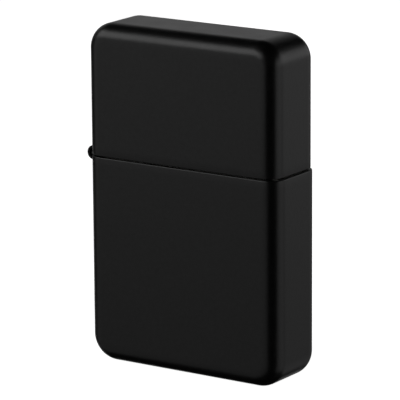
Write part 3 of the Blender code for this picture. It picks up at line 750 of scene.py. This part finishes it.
def across():
    """(inset, y) from the flat front to the flat back, round both edges, one at each side of the notch."""
    flat = HALF_DEPTH - EDGE_ROUNDING
    notch_side = math.asin((NOTCH_HALF - flat) / EDGE_ROUNDING)
    angles = sorted({math.pi / 2 * step / EDGE_STEPS for step in range(EDGE_STEPS + 1)} | {notch_side})
    half = [(EDGE_ROUNDING + FLAT_MARGIN, -HALF_DEPTH)]
    for angle in reversed(angles):
        half.append((EDGE_ROUNDING * (1 - math.cos(angle)), -flat - EDGE_ROUNDING * math.sin(angle)))
    half.append((0, -flat + FLAT_MARGIN))
    return half + [(inset, -y) for inset, y in reversed(half)]


def shell(node, closed_z, open_z, corner, rim, finishes):
    """Half of the case: its outer skin, open at the seam and notched for the barrel, thickened inwards."""
    low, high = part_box(node)
    bm = bmesh.new()
    columns = across()
    grid = []
    for point, normal in outline(low.x, high.x, closed_z, open_z, corner):
        grid.append([bm.verts.new(point - inset * normal + Vector((0, y, 0))) for inset, y in columns])
    for row, next_row in zip(grid, grid[1:]):
        for index in range(len(columns) - 1):
            corners = (row[index], next_row[index], next_row[index + 1], row[index + 1])
            middle = sum((v.co for v in corners), Vector()) / 4
            by_barrel = abs(middle.y) < NOTCH_HALF and abs(middle.z - HINGE_Z) < NOTCH_REACH
            if not (by_barrel and middle.x < 0):
                bm.faces.new(corners)
    for column in (0, len(columns) - 1):
        bm.faces.new([row[column] for row in grid])
    bmesh.ops.delete(bm, geom=[v for v in bm.verts if not v.link_faces], context="VERTS")
    bmesh.ops.recalc_face_normals(bm, faces=bm.faces)
    centre = Vector(((low.x + high.x) / 2, 0, (closed_z + open_z) / 2))
    face = max(bm.faces, key=lambda f: f.calc_area())
    if face.normal.dot(face.calc_center_median() - centre) < 0:
        bmesh.ops.reverse_faces(bm, faces=bm.faces)
    obj = piece(f"fine_{node}", bm, *finishes)
    wall = obj.modifiers.new("wall", "SOLIDIFY")
    wall.thickness = WALL
    wall.offset = -1
    wall.use_even_offset = True
    wall.use_quality_normals = True
    wall.material_offset = 1
    rims = obj.modifiers.new("rims", "BEVEL")
    rims.width = rim
    rims.segments = 4
    rims.limit_method = "ANGLE"
    rims.angle_limit = math.radians(50)
    rims.use_clamp_overlap = False
    apply_modifiers(obj)
    smooth(obj, degrees=40)
    stand_in(obj, node)


def case(coat, lining):
    finishes = (coat, lining)
    shell("case_bottom", case_low.z, case_high.z, FOOT_CORNER, FOOT_RIM_ROUNDING, finishes)
    shell("case_lid", lid_high.z, lid_low.z, CROWN_CORNER, CROWN_RIM_ROUNDING, finishes)


# Hinge


def hinge_leaf(node, side, kept, steel):
    """A leaf spot-welded inside the wall, with webs bent out and rolled round the pin.

    It gives the middles of the leaf's welds.
    """

    def span(near, far):
        """Lowest and highest Z of what runs between two distances from the hinge axis."""
        return sorted((HINGE_Z + side * near, HINGE_Z + side * far))

    low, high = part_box(node)
    plate_outer, plate_inner = high.x - LEAF_THICKNESS, high.x
    start = math.sqrt((BARREL_RADIUS + PIN_CLEARANCE) ** 2 - (plate_outer - HINGE_X) ** 2)
    flat_low, flat_high = sorted((HINGE_Z + side * start, low.z if side < 0 else high.z))
    flat = block((plate_outer, low.y, flat_low), (plate_inner, high.y, flat_high))
    ends = [e for e in flat.edges if runs_along(e, 0)]
    outer = [e for e in ends if abs(e.verts[0].co.z - HINGE_Z) > start + LEAF_THICKNESS]
    bevel(flat, outer, LEAF_CORNER, segments=6)
    obj = piece(f"{node}_fine", flat, steel)
    pitch = (2 * BARREL_HALF + KNUCKLE_GAP) / KNUCKLES
    web_far = BARREL_RADIUS - WEB_INSET
    web_near = web_far - LEAF_THICKNESS
    steps = []
    for index in kept:
        y0 = -BARREL_HALF + index * pitch
        y1 = y0 + pitch - KNUCKLE_GAP
        web_low, web_high = span(web_near, web_far)
        tab_low, tab_high = span(web_near + OVERLAP, start + LEAF_THICKNESS / 2)
        tab = block(
            (plate_outer + OVERLAP, y0 + 2 * OVERLAP, tab_low),
            (plate_inner - 2 * OVERLAP, y1 - 2 * OVERLAP, tab_high),
        )
        web = block((HINGE_X, y0 + OVERLAP, web_low), (plate_inner - OVERLAP, y1 - OVERLAP, web_high))
        knuckle = drums([(HINGE_X, HINGE_Z)], BARREL_RADIUS, y1 - y0, steps=64)
        bmesh.ops.translate(knuckle, vec=(0, (y0 + y1) / 2, 0), verts=knuckle.verts)
        ends = [e for e in knuckle.edges if not runs_along(e, 1)]
        bevel(knuckle, ends, KNUCKLE_EDGE, segments=3)
        for word, shape in (("tab", tab), ("web", web), ("knuckle", knuckle)):
            steps.append(("UNION", f"{node}_{word}_{index}", shape))
    bore = drums([(HINGE_X, HINGE_Z)], PIN_BORE, 4 * BARREL_HALF, steps=48)
    steps.append(("DIFFERENCE", f"{node}_bore", bore))
    combine(obj, steps)
    smooth(obj)
    weight_normals(obj)
    stand_in(obj, node)
    weld_z = HINGE_Z + side * (start + WELD_PLACE * (flat_high - flat_low))
    return [
        Vector((plate_inner, y, z))
        for y in (-WELD_ACROSS, WELD_ACROSS)
        for z in (weld_z - WELD_UP, weld_z + WELD_UP)
    ]


def hinge_pin(steel):
    radius = (pin_high.z - pin_low.z) / 2
    ends = [(0, BARREL_HALF), (radius, BARREL_HALF), (radius, -BARREL_HALF), (0, -BARREL_HALF)]
    profile = rounded(ends, PIN_EDGE, steps=5)
    fitted("hinge_pin", steel, revolve(profile, (HINGE_X, 0, HINGE_Z), ALONG_Y), degrees=50)


def weld_spots(name, points, body, steel):
    """Shallow round marks left by spot welding, a little proud of the leaf."""
    bm = bmesh.new()
    for point in points:
        spot = revolve(WELD_PROFILE, point, ALONG_X, steps=24)
        mesh = bpy.data.meshes.new("spot")
        spot.to_mesh(mesh)
        spot.free()
        bm.from_mesh(mesh)
        bpy.data.meshes.remove(mesh)
    obj = piece(name, bm, steel)
    smooth(obj)
    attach(obj, body)


def hinge(bare, dark):
    for node, side, first in (("hinge_leaf_lower", -1, 0), ("hinge_leaf_upper", 1, 1)):
        spots = hinge_leaf(node, side, range(first, KNUCKLES, 2), dark)
        weld_spots(f"{node}_weld_spots", spots, BODY_OF[node], dark)
    hinge_pin(dark)
    low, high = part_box("lid_stop_plate")
    plate_x = low.x + LEAF_THICKNESS / 2
    lip_z = HINGE_Z + STOP_LIP_UP
    path = [(plate_x, high.z), (plate_x, lip_z + STOP_BEND), (HINGE_X + STOP_LIP_OUT, lip_z)]
    width = high.y - low.y
    stop = bent_strip("lid_stop_plate_fine", path, width, LEAF_THICKNESS, STOP_BEND_RADIUS, bare)
    stand_in(stop, "lid_stop_plate")


# Inside unit


def ear(name, side, inner_x, axis, radius):
    outwards = 1 if axis[0] > inner_x else -1
    quarter = arc(axis, radius, 90 - 90 * outwards, 90, steps=16)
    points = [(inner_x, ROOT_Z), (axis[0] + outwards * radius, ROOT_Z), *quarter, (inner_x, axis[1] + radius)]
    return plate(name, [points], SHEET - 2 * EAR_INSET, side * (CHIMNEY_HALF - SHEET / 2))


def air_hole_middles():
    for row, count in enumerate(AIR_HOLES):
        for column in range(count):
            x = CHIMNEY_MIDDLE + (column - (count - 1) / 2) * AIR_HOLE_PITCH
            yield x, unit_high.z - AIR_HOLE_DROP - row * AIR_HOLE_ROW


def rivet_hole(x):
    """What is taken away for the cam spring's rivet, through sheet at this X."""
    profile = [(0, PAST), (RIVET_BORE, PAST), (RIVET_BORE, -PAST), (0, -PAST)]
    return revolve(profile, (x, 0, RIVET_Z), ALONG_X, steps=32)


def inside_unit(steel):
    """Tank and shoulder, chimney with its holes, and the lugs of the wheel and the cam."""
    half = unit_high.y
    corner = EDGE_ROUNDING - WALL - NOTCH_GAP
    low = Vector((unit_low.x, -half, unit_low.z))
    high = Vector((unit_high.x, half, SHOULDER_Z))
    obj = piece("insert_case_fine", block(low, high, corner, SHOULDER_EDGE), steel)
    sheet = Vector((SHEET, SHEET, 0))
    slot_half = CHIMNEY_HALF - SHEET / 2
    cam_side = CAM_X - CAM_EAR
    wheel_side = WHEEL_X + WHEEL_EAR
    slot = block((cam_side - SHEET, -slot_half, ROOT_Z), (wheel_side + SHEET, slot_half, SHOULDER_Z + PAST))
    lip_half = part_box("lid_stop_plate")[1].y + NOTCH_GAP
    lip_room = block((unit_low.x - PAST, -lip_half, deck_high.z), (cam_side, lip_half, SHOULDER_Z + PAST))
    chimney_low = Vector((CHIMNEY_LEFT, -CHIMNEY_HALF, ROOT_Z))
    chimney_high = Vector((CHIMNEY_RIGHT, CHIMNEY_HALF, unit_high.z))
    flue = block(chimney_low + sheet - PAST_END, chimney_high - sheet + PAST_END, CHIMNEY_CORNER - SHEET)
    through = 2 * (CHIMNEY_HALF + PAST)
    steps = [
        ("DIFFERENCE", "room", block(low + sheet - PAST_END, high - Vector((SHEET,) * 3), corner - SHEET)),
        ("DIFFERENCE", "slot", slot),
        ("DIFFERENCE", "lip_room", lip_room),
        ("UNION", "chimney", block(chimney_low, chimney_high, CHIMNEY_CORNER, CHIMNEY_EDGE)),
        ("DIFFERENCE", "flue", flue),
        ("DIFFERENCE", "air_holes", drums(air_hole_middles(), AIR_HOLE_RADIUS, through, steps=32)),
    ]
    lugs = (
        ("wheel_ear", CHIMNEY_RIGHT - CHIMNEY_CORNER - SHEET, (WHEEL_X, WHEEL_Z), WHEEL_EAR),
        ("cam_ear", CHIMNEY_LEFT + CHIMNEY_CORNER + SHEET, (CAM_X, CAM_Z), CAM_EAR),
    )
    for side in (-1, 1):
        for word, root, axis, radius in lugs:
            name = f"{word}_{side}"
            steps.append(("UNION", name, ear(name, side, root, axis, radius)))
    spark_half = RIM_HALF - SHEET
    spark = block(
        (CHIMNEY_RIGHT - SHEET - NOTCH_GAP, -spark_half, WHEEL_Z - WHEEL_RADIUS / 2),
        (CHIMNEY_RIGHT + PAST, spark_half, unit_high.z + PAST),
    )
    steps += [
        ("DIFFERENCE", "spark", spark),
        ("DIFFERENCE", "wheel_hole", drums([(WHEEL_X, WHEEL_Z)], WHEEL_BORE, through)),
        ("DIFFERENCE", "cam_hole", drums([(CAM_X, CAM_Z)], RIVET_BORE, through)),
        ("DIFFERENCE", "rivet_hole", rivet_hole(unit_low.x)),
    ]
    combine(obj, steps)
    smooth(obj)
    weight_normals(obj)
    stand_in(obj, "insert_case")


def dome(head, top, steps=8):
    """The crown of a rivet's head, from its middle to its edge."""
    angles = [math.pi / 2 * step / steps for step in range(steps + 1)]
    return [(head * math.sin(a), top - RIVET_CROWN * (1 - math.cos(a))) for a in angles]


def rivet(node, shank, centre, steel):
    """An axle along Y with a domed head outside each lug."""
    low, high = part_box(node)
    head = (high.x - low.x) / 2
    under = high.y - RIVET_HEAD
    half_profile = [*dome(head, high.y), (head, under), (shank, under)]
    profile = half_profile + [(radius, -along) for radius, along in reversed(half_profile)]
    fitted(node, steel, revolve(profile, centre, ALONG_Y))


def flint_wheel(steel):
    """A hardened wheel cut with crossing teeth, on a plain hub."""
    hub_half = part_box("flint_wheel")[1].y
    cut_half = RIM_HALF - WHEEL_CHAMFER
    side = [
        (WHEEL_BORE, hub_half),
        (WHEEL_HUB - SMALL_EDGE, hub_half),
        (WHEEL_HUB, hub_half - SMALL_EDGE),
        (WHEEL_HUB, RIM_HALF),
        (WHEEL_RADIUS - 3 * WHEEL_CHAMFER, RIM_HALF),
    ]
    profile = [(radius, -along) for radius, along in side]
    for row in range(WHEEL_ROWS + 1):
        profile.append((WHEEL_RADIUS - RIM_INSET, cut_half * (2 * row / WHEEL_ROWS - 1)))
    profile += reversed(side)

    def teeth(index, angle):
        row = index - len(side)
        if not 0 <= row <= WHEEL_ROWS:
            return 0
        share = row / WHEEL_ROWS
        tooth = WHEEL_TEETH * angle / (2 * math.pi)
        slope = (tooth + TOOTH_SLANT * share) % 1
        in_groove = abs((tooth - GROOVE_SLANT * share) % 1 - 0.5) < GROOVE_HALF
        return -TOOTH_DEPTH * (TOOTH_SLOPE * slope + GROOVE_DEPTH * in_groove)

    wheel = revolve(profile, (WHEEL_X, 0, WHEEL_Z), ALONG_Y, 10 * WHEEL_TEETH, closed=True, shape=teeth)
    fitted("flint_wheel", steel, wheel, degrees=25)


def cam(steel):
    """The cam lever: the skin round three discs, with its edges eased, and a bore."""
    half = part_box("cam")[1].y
    points = []
    for middle, radius in (((0, 0), CAM_RADIUS), (CAM_NOSE, CAM_TIP), (CAM_TAIL, CAM_TIP)):
        points += [(CAM_X + x, CAM_Z + z) for x, z in circle(middle, radius, 144)]
    outlines = [convex_outline(points), circle((CAM_X, CAM_Z), RIVET_BORE, 48)]
    fitted("cam", steel, plate("cam_outline", outlines, 2 * half, 0, CAM_EDGE))


def convex_outline(points):
    """The points of the convex hull, in order."""
    points = sorted(set(points))

    def half_hull(ordered):
        hull = []
        for p in ordered:
            while len(hull) > 1 and cross(hull[-2], hull[-1], p) <= 0:
                hull.pop()
            hull.append(p)
        return hull[:-1]

    return half_hull(points) + half_hull(reversed(points))


def cross(a, b, c):
    return (b[0] - a[0]) * (c[1] - a[1]) - (b[1] - a[1]) * (c[0] - a[0])


def spring_leaf(steel):
    """The cam's leaf spring, from the tank wall to the tail of the cam."""
    low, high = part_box("cam_spring")
    thickness = CAM_SPRING_THICKNESS
    wall_x = low.x + thickness / 2
    tail_x = CAM_X + CAM_TAIL[0]
    end_z = high.z - thickness / 2
    bend_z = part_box("packing_4")[1].z + thickness
    path = [
        (wall_x, low.z),
        (wall_x, bend_z),
        (CAM_X, (bend_z + deck_low.z) / 2),
        (tail_x - CAM_TIP, deck_high.z + (deck_high.z - deck_low.z)),
        (tail_x - CAM_TIP, end_z - thickness),
        (tail_x, end_z),
    ]
    obj = bent_strip("cam_spring_fine", path, high.y - low.y, thickness, CAM_SPRING_BEND, steel)
    combine(obj, [("DIFFERENCE", "cam_spring_hole", rivet_hole(wall_x))])
    smooth(obj)
    stand_in(obj, "cam_spring")
    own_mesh(obj)


def spring_rivet(steel):
    low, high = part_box("cam_spring_rivet")
    head = (high.z - low.z) / 2
    length = high.x - low.x
    under = length - RIVET_HEAD
    profile = [*dome(head, length), (head, under), (RIVET_SHANK, under), (RIVET_SHANK, 0), (0, 0)]
    middle = (low.x, 0, (low.z + high.z) / 2)
    fitted("cam_spring_rivet", steel, revolve(profile, middle, ALONG_X))


def flint_parts(brass, wire, grey):
    """Tube, flint, follower and spring, one above another on the wheel's centre line."""
    low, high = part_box("flint_tube")
    outer = (high.x - low.x) / 2
    bore = outer - TUBE_WALL
    height = high.z - low.z
    ring = [
        (bore + SMALL_EDGE, height), (outer - SMALL_EDGE, height), (outer, height - SMALL_EDGE),
        (outer, 0), (bore, 0), (bore, height - SMALL_EDGE),
    ]
    fitted("flint_tube", brass, revolve(ring, (WHEEL_X, 0, low.z), closed=True))

    radius, length, foot = upright("flint")
    profile = rounded([(0, length), (radius, length), (radius, 0), (0, 0)], FLINT_EDGE)
    fitted("flint", grey, revolve(profile, foot))

    radius, length, foot = upright("spring_tip")
    neck = [(TIP_NECK_RADIUS, TIP_NECK_LENGTH), (TIP_NECK_RADIUS, 0), (0, 0)]
    profile = rounded([(0, length), (radius, length), (radius, TIP_NECK_LENGTH), *neck], SMALL_EDGE)
    fitted("spring_tip", brass, revolve(profile, foot))

    low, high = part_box("flint_spring")
    coil = (high.y - low.y) / 2 - SPRING_WIRE
    bottom, top = low.z + SPRING_WIRE, high.z - SPRING_WIRE
    count = SPRING_TURNS * POINTS_PER_TURN
    points = []
    for index in range(count + 1):
        angle = 2 * math.pi * index / POINTS_PER_TURN
        height = bottom + (top - bottom) * index / count
        points.append((WHEEL_X + coil * math.cos(angle), coil * math.sin(angle), height))
    spring = fitted("flint_spring", wire, rod("coil", points, SPRING_WIRE), degrees=60)
    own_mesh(spring)


def flint_screw(brass):
    """A slotted and knurled head on a threaded shank."""
    head, top, foot = upright("flint_screw")
    start = top - THREAD_START
    profile = [(0, top), (SCREW_SHANK * SCREW_POINT, top)]
    for row in range(THREAD_ROWS + 1):
        profile.append((SCREW_SHANK, start - (start - SCREW_HEAD_HEIGHT) * row / THREAD_ROWS))
    profile += [(head - SMALL_EDGE, SCREW_HEAD_HEIGHT), (head, SCREW_HEAD_HEIGHT - SMALL_EDGE)]
    profile += [(head, SMALL_EDGE), (head - SMALL_EDGE, 0), (0, 0)]

    def relief(index, angle):
        radius, along = profile[index]
        if radius == SCREW_SHANK:
            turns = along / THREAD_PITCH + angle / (2 * math.pi)
            return -THREAD_DEPTH * abs(2 * (turns % 1) - 1)
        if radius == head:
            return -KNURL_DEPTH * (0.5 + 0.5 * math.cos(KNURLS * angle))
        return 0

    obj = piece("flint_screw_fine", revolve(profile, foot, steps=144, shape=relief), brass)
    slot_end = Vector((2 * head, SCREW_SLOT / 2, 0))
    slot = block(foot - slot_end - PAST_END, foot + slot_end + Vector((0, 0, SCREW_HEAD_HEIGHT / 2)))
    combine(obj, [("DIFFERENCE", "screw_slot", slot)])
    smooth(obj)
    stand_in(obj, "flint_screw")


# Wick, felt and cotton


def smooth_line(points, rounds):
    """Cuts the corners of a line of points, a few times over."""
    for _ in range(rounds):
        cut = [points[0]]
        for a, b in zip(points, points[1:]):
            cut += [a.lerp(b, 0.25), a.lerp(b, 0.75)]
        points = cut + [points[-1]]
    return points


def wick(cotton):
    """A braided cotton wick down the chimney and through the packing, with a frayed top."""
    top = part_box("wick")[1].z
    packing_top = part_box("packing_4")[1].z
    packing_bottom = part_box("packing_1")[0].z
    run = packing_top - packing_bottom - 3 * WICK_RADIUS
    points = [Vector((WICK_X, 0, top - WICK_FRAY)), Vector((WICK_X, 0, (top + packing_top) / 2))]
    for bend in range(WICK_BENDS + 1):
        along = bend / WICK_BENDS
        sway = -WICK_SWING * math.sin(2 * math.pi * along) * min(1, 4 * along)
        points.append(Vector((WICK_X + sway, 0, packing_top - along * run)))
    line = resample(smooth_line(points, 2), WICK_STEP)
    bm = bmesh.new()
    rings = []
    length = 0
    for index, point in enumerate(line):
        ahead = line[min(index + 1, len(line) - 1)]
        behind = line[max(index - 1, 0)]
        tangent = (ahead - behind).normalized()
        side = Vector((0, 1, 0))
        front = tangent.cross(side)
        length += (point - behind).length if index else 0
        ring = []
        for step in range(WICK_SIDES):
            angle = 2 * math.pi * step / WICK_SIDES
            first = math.cos(STRANDS * angle + length / BRAID_PITCH)
            second = math.cos(STRANDS * angle - length / BRAID_PITCH)
            over = math.cos(2 * STRANDS * angle) * math.cos(2 * length / BRAID_PITCH)
            height = max(first, second) * 0.5 + 0.5 + STRAND_RISE * over
            radius = WICK_RADIUS * (WICK_CORE + STRAND_RISE * height)
            ring.append(bm.verts.new(point + radius * (math.cos(angle) * side + math.sin(angle) * front)))
        rings.append(ring)
    skin(bm, rings)
    for ring in (rings[0], rings[-1]):
        centre = bm.verts.new(sum((v.co for v in ring), Vector()) / WICK_SIDES)
        for step in range(WICK_SIDES):
            bm.faces.new((ring[step], ring[(step + 1) % WICK_SIDES], centre))
    bmesh.ops.recalc_face_normals(bm, faces=bm.faces)
    obj = piece("wick_braided", bm, cotton)
    smooth(obj, degrees=80)
    stand_in(obj, "wick")


def wick_fray(cotton):
    """Loose fibres at the top of the wick."""
    chance = random.Random(4)
    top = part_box("wick")[1].z
    bm = bmesh.new()
    for _ in range(FIBRES):
        angle = chance.uniform(0, 2 * math.pi)
        away = WICK_RADIUS * FIBRE_SPREAD * math.sqrt(chance.random())
        outwards = Vector((math.cos(angle), math.sin(angle), 0))
        foot = Vector((WICK_X, 0, top - WICK_FRAY * FIBRE_ROOT)) + away * outwards
        lean = outwards * chance.uniform(*FIBRE_LEAN) * WICK_RADIUS
        end = foot + lean + Vector((0, 0, WICK_FRAY * chance.uniform(*FIBRE_LENGTH)))
        bend = Vector((chance.uniform(-1, 1), chance.uniform(-1, 1), 0)) * FIBRE_BEND
        rings = []
        for point, share in zip((foot, foot.lerp(end, 0.55) + bend, end), FIBRE_TAPER):
            radius = FIBRE_RADIUS * share
            rings.append([
                bm.verts.new(point + radius * Vector((math.cos(t), math.sin(t), 0))) for t in FIBRE_SIDES
            ])
        skin(bm, rings)
        bm.faces.new(reversed(rings[0]))
        bm.faces.new(rings[-1])
    obj = piece("wick_fray", bm, cotton)
    smooth(obj, degrees=80)
    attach(obj, "insert")


def resample(points, step):
    """Points a step apart along a line."""
    made = [points[0]]
    left = step
    for a, b in zip(points, points[1:]):
        gap = (b - a).length
        while gap >= left and gap > 0:
            a = a.lerp(b, left / gap)
            made.append(a)
            gap = (b - a).length
            left = step
        left -= gap
    return made


def soft(node, material, voxel, lump, lump_size, fibre):
    """A wad of soft stuff: the node's shape remeshed, relaxed, drawn in and made lumpy."""
    obj = bpy.data.objects.new(f"{node}_soft", frame["nodes"][node].data.copy())
    bpy.context.scene.collection.objects.link(obj)
    obj.data.materials.clear()
    obj.data.materials.append(material)
    remesh = obj.modifiers.new("remesh", "REMESH")
    remesh.mode = "VOXEL"
    remesh.voxel_size = voxel
    relax = obj.modifiers.new("relax", "SMOOTH")
    relax.factor = 0.5
    relax.iterations = 6
    apply_modifiers(obj)
    mesh = obj.data
    moved = []
    for vertex in mesh.vertices:
        place = vertex.co
        slow = noise.noise(place / lump_size)
        quick = noise.noise(place / (3 * voxel) + OTHER_NOISE)
        moved.append(place + vertex.normal * (lump * (slow - LUMPS_IN) + fibre * (quick - FIBRES_IN)))
    for vertex, place in zip(mesh.vertices, moved):
        vertex.co = place
    mesh.update()
    mesh.shade_smooth()
    stand_in(obj, node)


def soft_parts(cotton, felt):
    soft("felt_pad", felt, voxel=0.00022, lump=0.00010, lump_size=0.004, fibre=0.00005)
    for number in range(1, 5):
        soft(
            f"packing_{number}", cotton,
            voxel=0.00030, lump=0.00022, lump_size=0.0022, fibre=0.00012,
        )


# Light, stage and camera


def direction(azimuth, elevation):
    a, e = math.radians(azimuth), math.radians(elevation)
    return Vector((math.sin(a) * math.cos(e), -math.cos(a) * math.cos(e), math.sin(e)))


def softbox(name, left, right, low, high, radiance):
    """A rectangular light that spans these azimuths and elevations, seen from the middle of the seam."""
    light = bpy.data.lights.new(name, "AREA")
    light.shape = "RECTANGLE"
    light.size = 2 * SOFTBOX_DISTANCE * math.tan(math.radians(right - left) / 2)
    light.size_y = 2 * SOFTBOX_DISTANCE * math.tan(math.radians(high - low) / 2)
    light.energy = radiance * math.pi * light.size * light.size_y
    obj = bpy.data.objects.new(name, light)
    towards = direction((left + right) / 2, (low + high) / 2)
    obj.location = Vector((0, 0, case_high.z)) + towards * SOFTBOX_DISTANCE
    obj.rotation_mode = "QUATERNION"
    obj.rotation_quaternion = towards.to_track_quat("Z", "Y")
    obj.visible_camera = False
    bpy.context.scene.collection.objects.link(obj)


def stage():
    """A pale floor that sweeps up into a wall all round, seen but not reflected."""
    bm = bmesh.new()
    curve = arc((STAGE_RADIUS - STAGE_CURVE, STAGE_CURVE), STAGE_CURVE, -90, 0, STAGE_STEPS)
    profile = [(0, 0), *curve, (STAGE_RADIUS, STAGE_HEIGHT)]
    points = [bm.verts.new((x, 0, z)) for x, z in profile]
    edges = [bm.edges.new(pair) for pair in zip(points, points[1:])]
    bmesh.ops.spin(
        bm, geom=points + edges, cent=(0, 0, 0), axis=(0, 0, 1), angle=2 * math.pi, steps=STAGE_SIDES,
        use_merge=True,
    )
    bmesh.ops.remove_doubles(bm, verts=bm.verts, dist=1e-6)
    made = Nodes("pale_stage")
    made.set(
        Base_Color=made.mix(made.noise(size=0.05), (0.80, 0.80, 0.80), (0.83, 0.83, 0.83)),
        Roughness=0.9,
        Emission_Color=(1.0, 1.0, 1.0),
        Emission_Strength=0.97,
    )
    floor = piece("stage_floor", bm, made.material)
    floor.visible_glossy = False
    floor.visible_diffuse = False
    floor.visible_shadow = False
    floor.location.z = case_low.z - OVERLAP
    smooth(floor)


def world():
    made = bpy.data.worlds.new("dim_room")
    made.use_nodes = True
    background = made.node_tree.nodes["Background"]
    background.inputs["Color"].default_value = (1, 1, 1, 1)
    background.inputs["Strength"].default_value = WORLD_LIGHT
    bpy.context.scene.world = made


def camera():
    back = direction(CAMERA_AZIMUTH, CAMERA_ELEVATION)
    right = direction(CAMERA_AZIMUTH + 90, 0)
    up = back.cross(right)
    roll = Matrix.Rotation(math.radians(CAMERA_ROLL), 3, "Z")
    turn = Matrix((right, up, back)).transposed() @ roll
    data = bpy.data.cameras.new("camera")
    data.lens = CAMERA_LENS
    data.sensor_width = CAMERA_SENSOR
    data.clip_start, data.clip_end = 0.01, 20
    obj = bpy.data.objects.new("camera", data)
    obj.matrix_world = Matrix.Translation(Vector(CAMERA_TARGET) + back * CAMERA_DISTANCE) @ turn.to_4x4()
    bpy.context.scene.collection.objects.link(obj)
    bpy.context.scene.camera = obj


def set_colours():
    view = bpy.context.scene.view_settings
    view.view_transform = "Standard"
    view.look = "None"
    view.exposure = 0
    view.gamma = 1


# Everything

camera()
set_colours()
stage()
world()
for box_name, box in SOFTBOXES.items():
    softbox(box_name, *box)
case(black_coat(), bare_lining())

steel = sheet_steel()
hinge(steel, black_steel())
inside_unit(steel)
carry("insert_deck", steel)
rivet("wheel_rivet", WHEEL_RIVET, (WHEEL_X, 0, WHEEL_Z), steel)
rivet("cam_rivet", RIVET_SHANK, (CAM_X, 0, CAM_Z), steel)
flint_wheel(wheel_steel())
cam(steel)
leaf_steel = spring_steel()
spring_leaf(leaf_steel)
spring_rivet(steel)
yellow_brass = brass()
flint_parts(yellow_brass, leaf_steel, ferrocerium())
flint_screw(yellow_brass)

wick_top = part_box("wick")[1].z
braid = fibres(
    "braided_cotton", (0.50, 0.44, 0.33), (0.66, 0.60, 0.48), 0.00008, 0.00001,
    scorch=(wick_top - 2.2 * WICK_FRAY, wick_top - WICK_FRAY),
)
wick(braid)
wick_fray(braid)
wadding = fibres("cotton_wadding", (0.72, 0.69, 0.62), (0.86, 0.84, 0.79), 0.00022, 0.00003, (1, 1, 3))
felt = fibres("grey_felt", (0.34, 0.33, 0.30), (0.48, 0.46, 0.42), 0.00016, 0.00002)
soft_parts(wadding, felt)
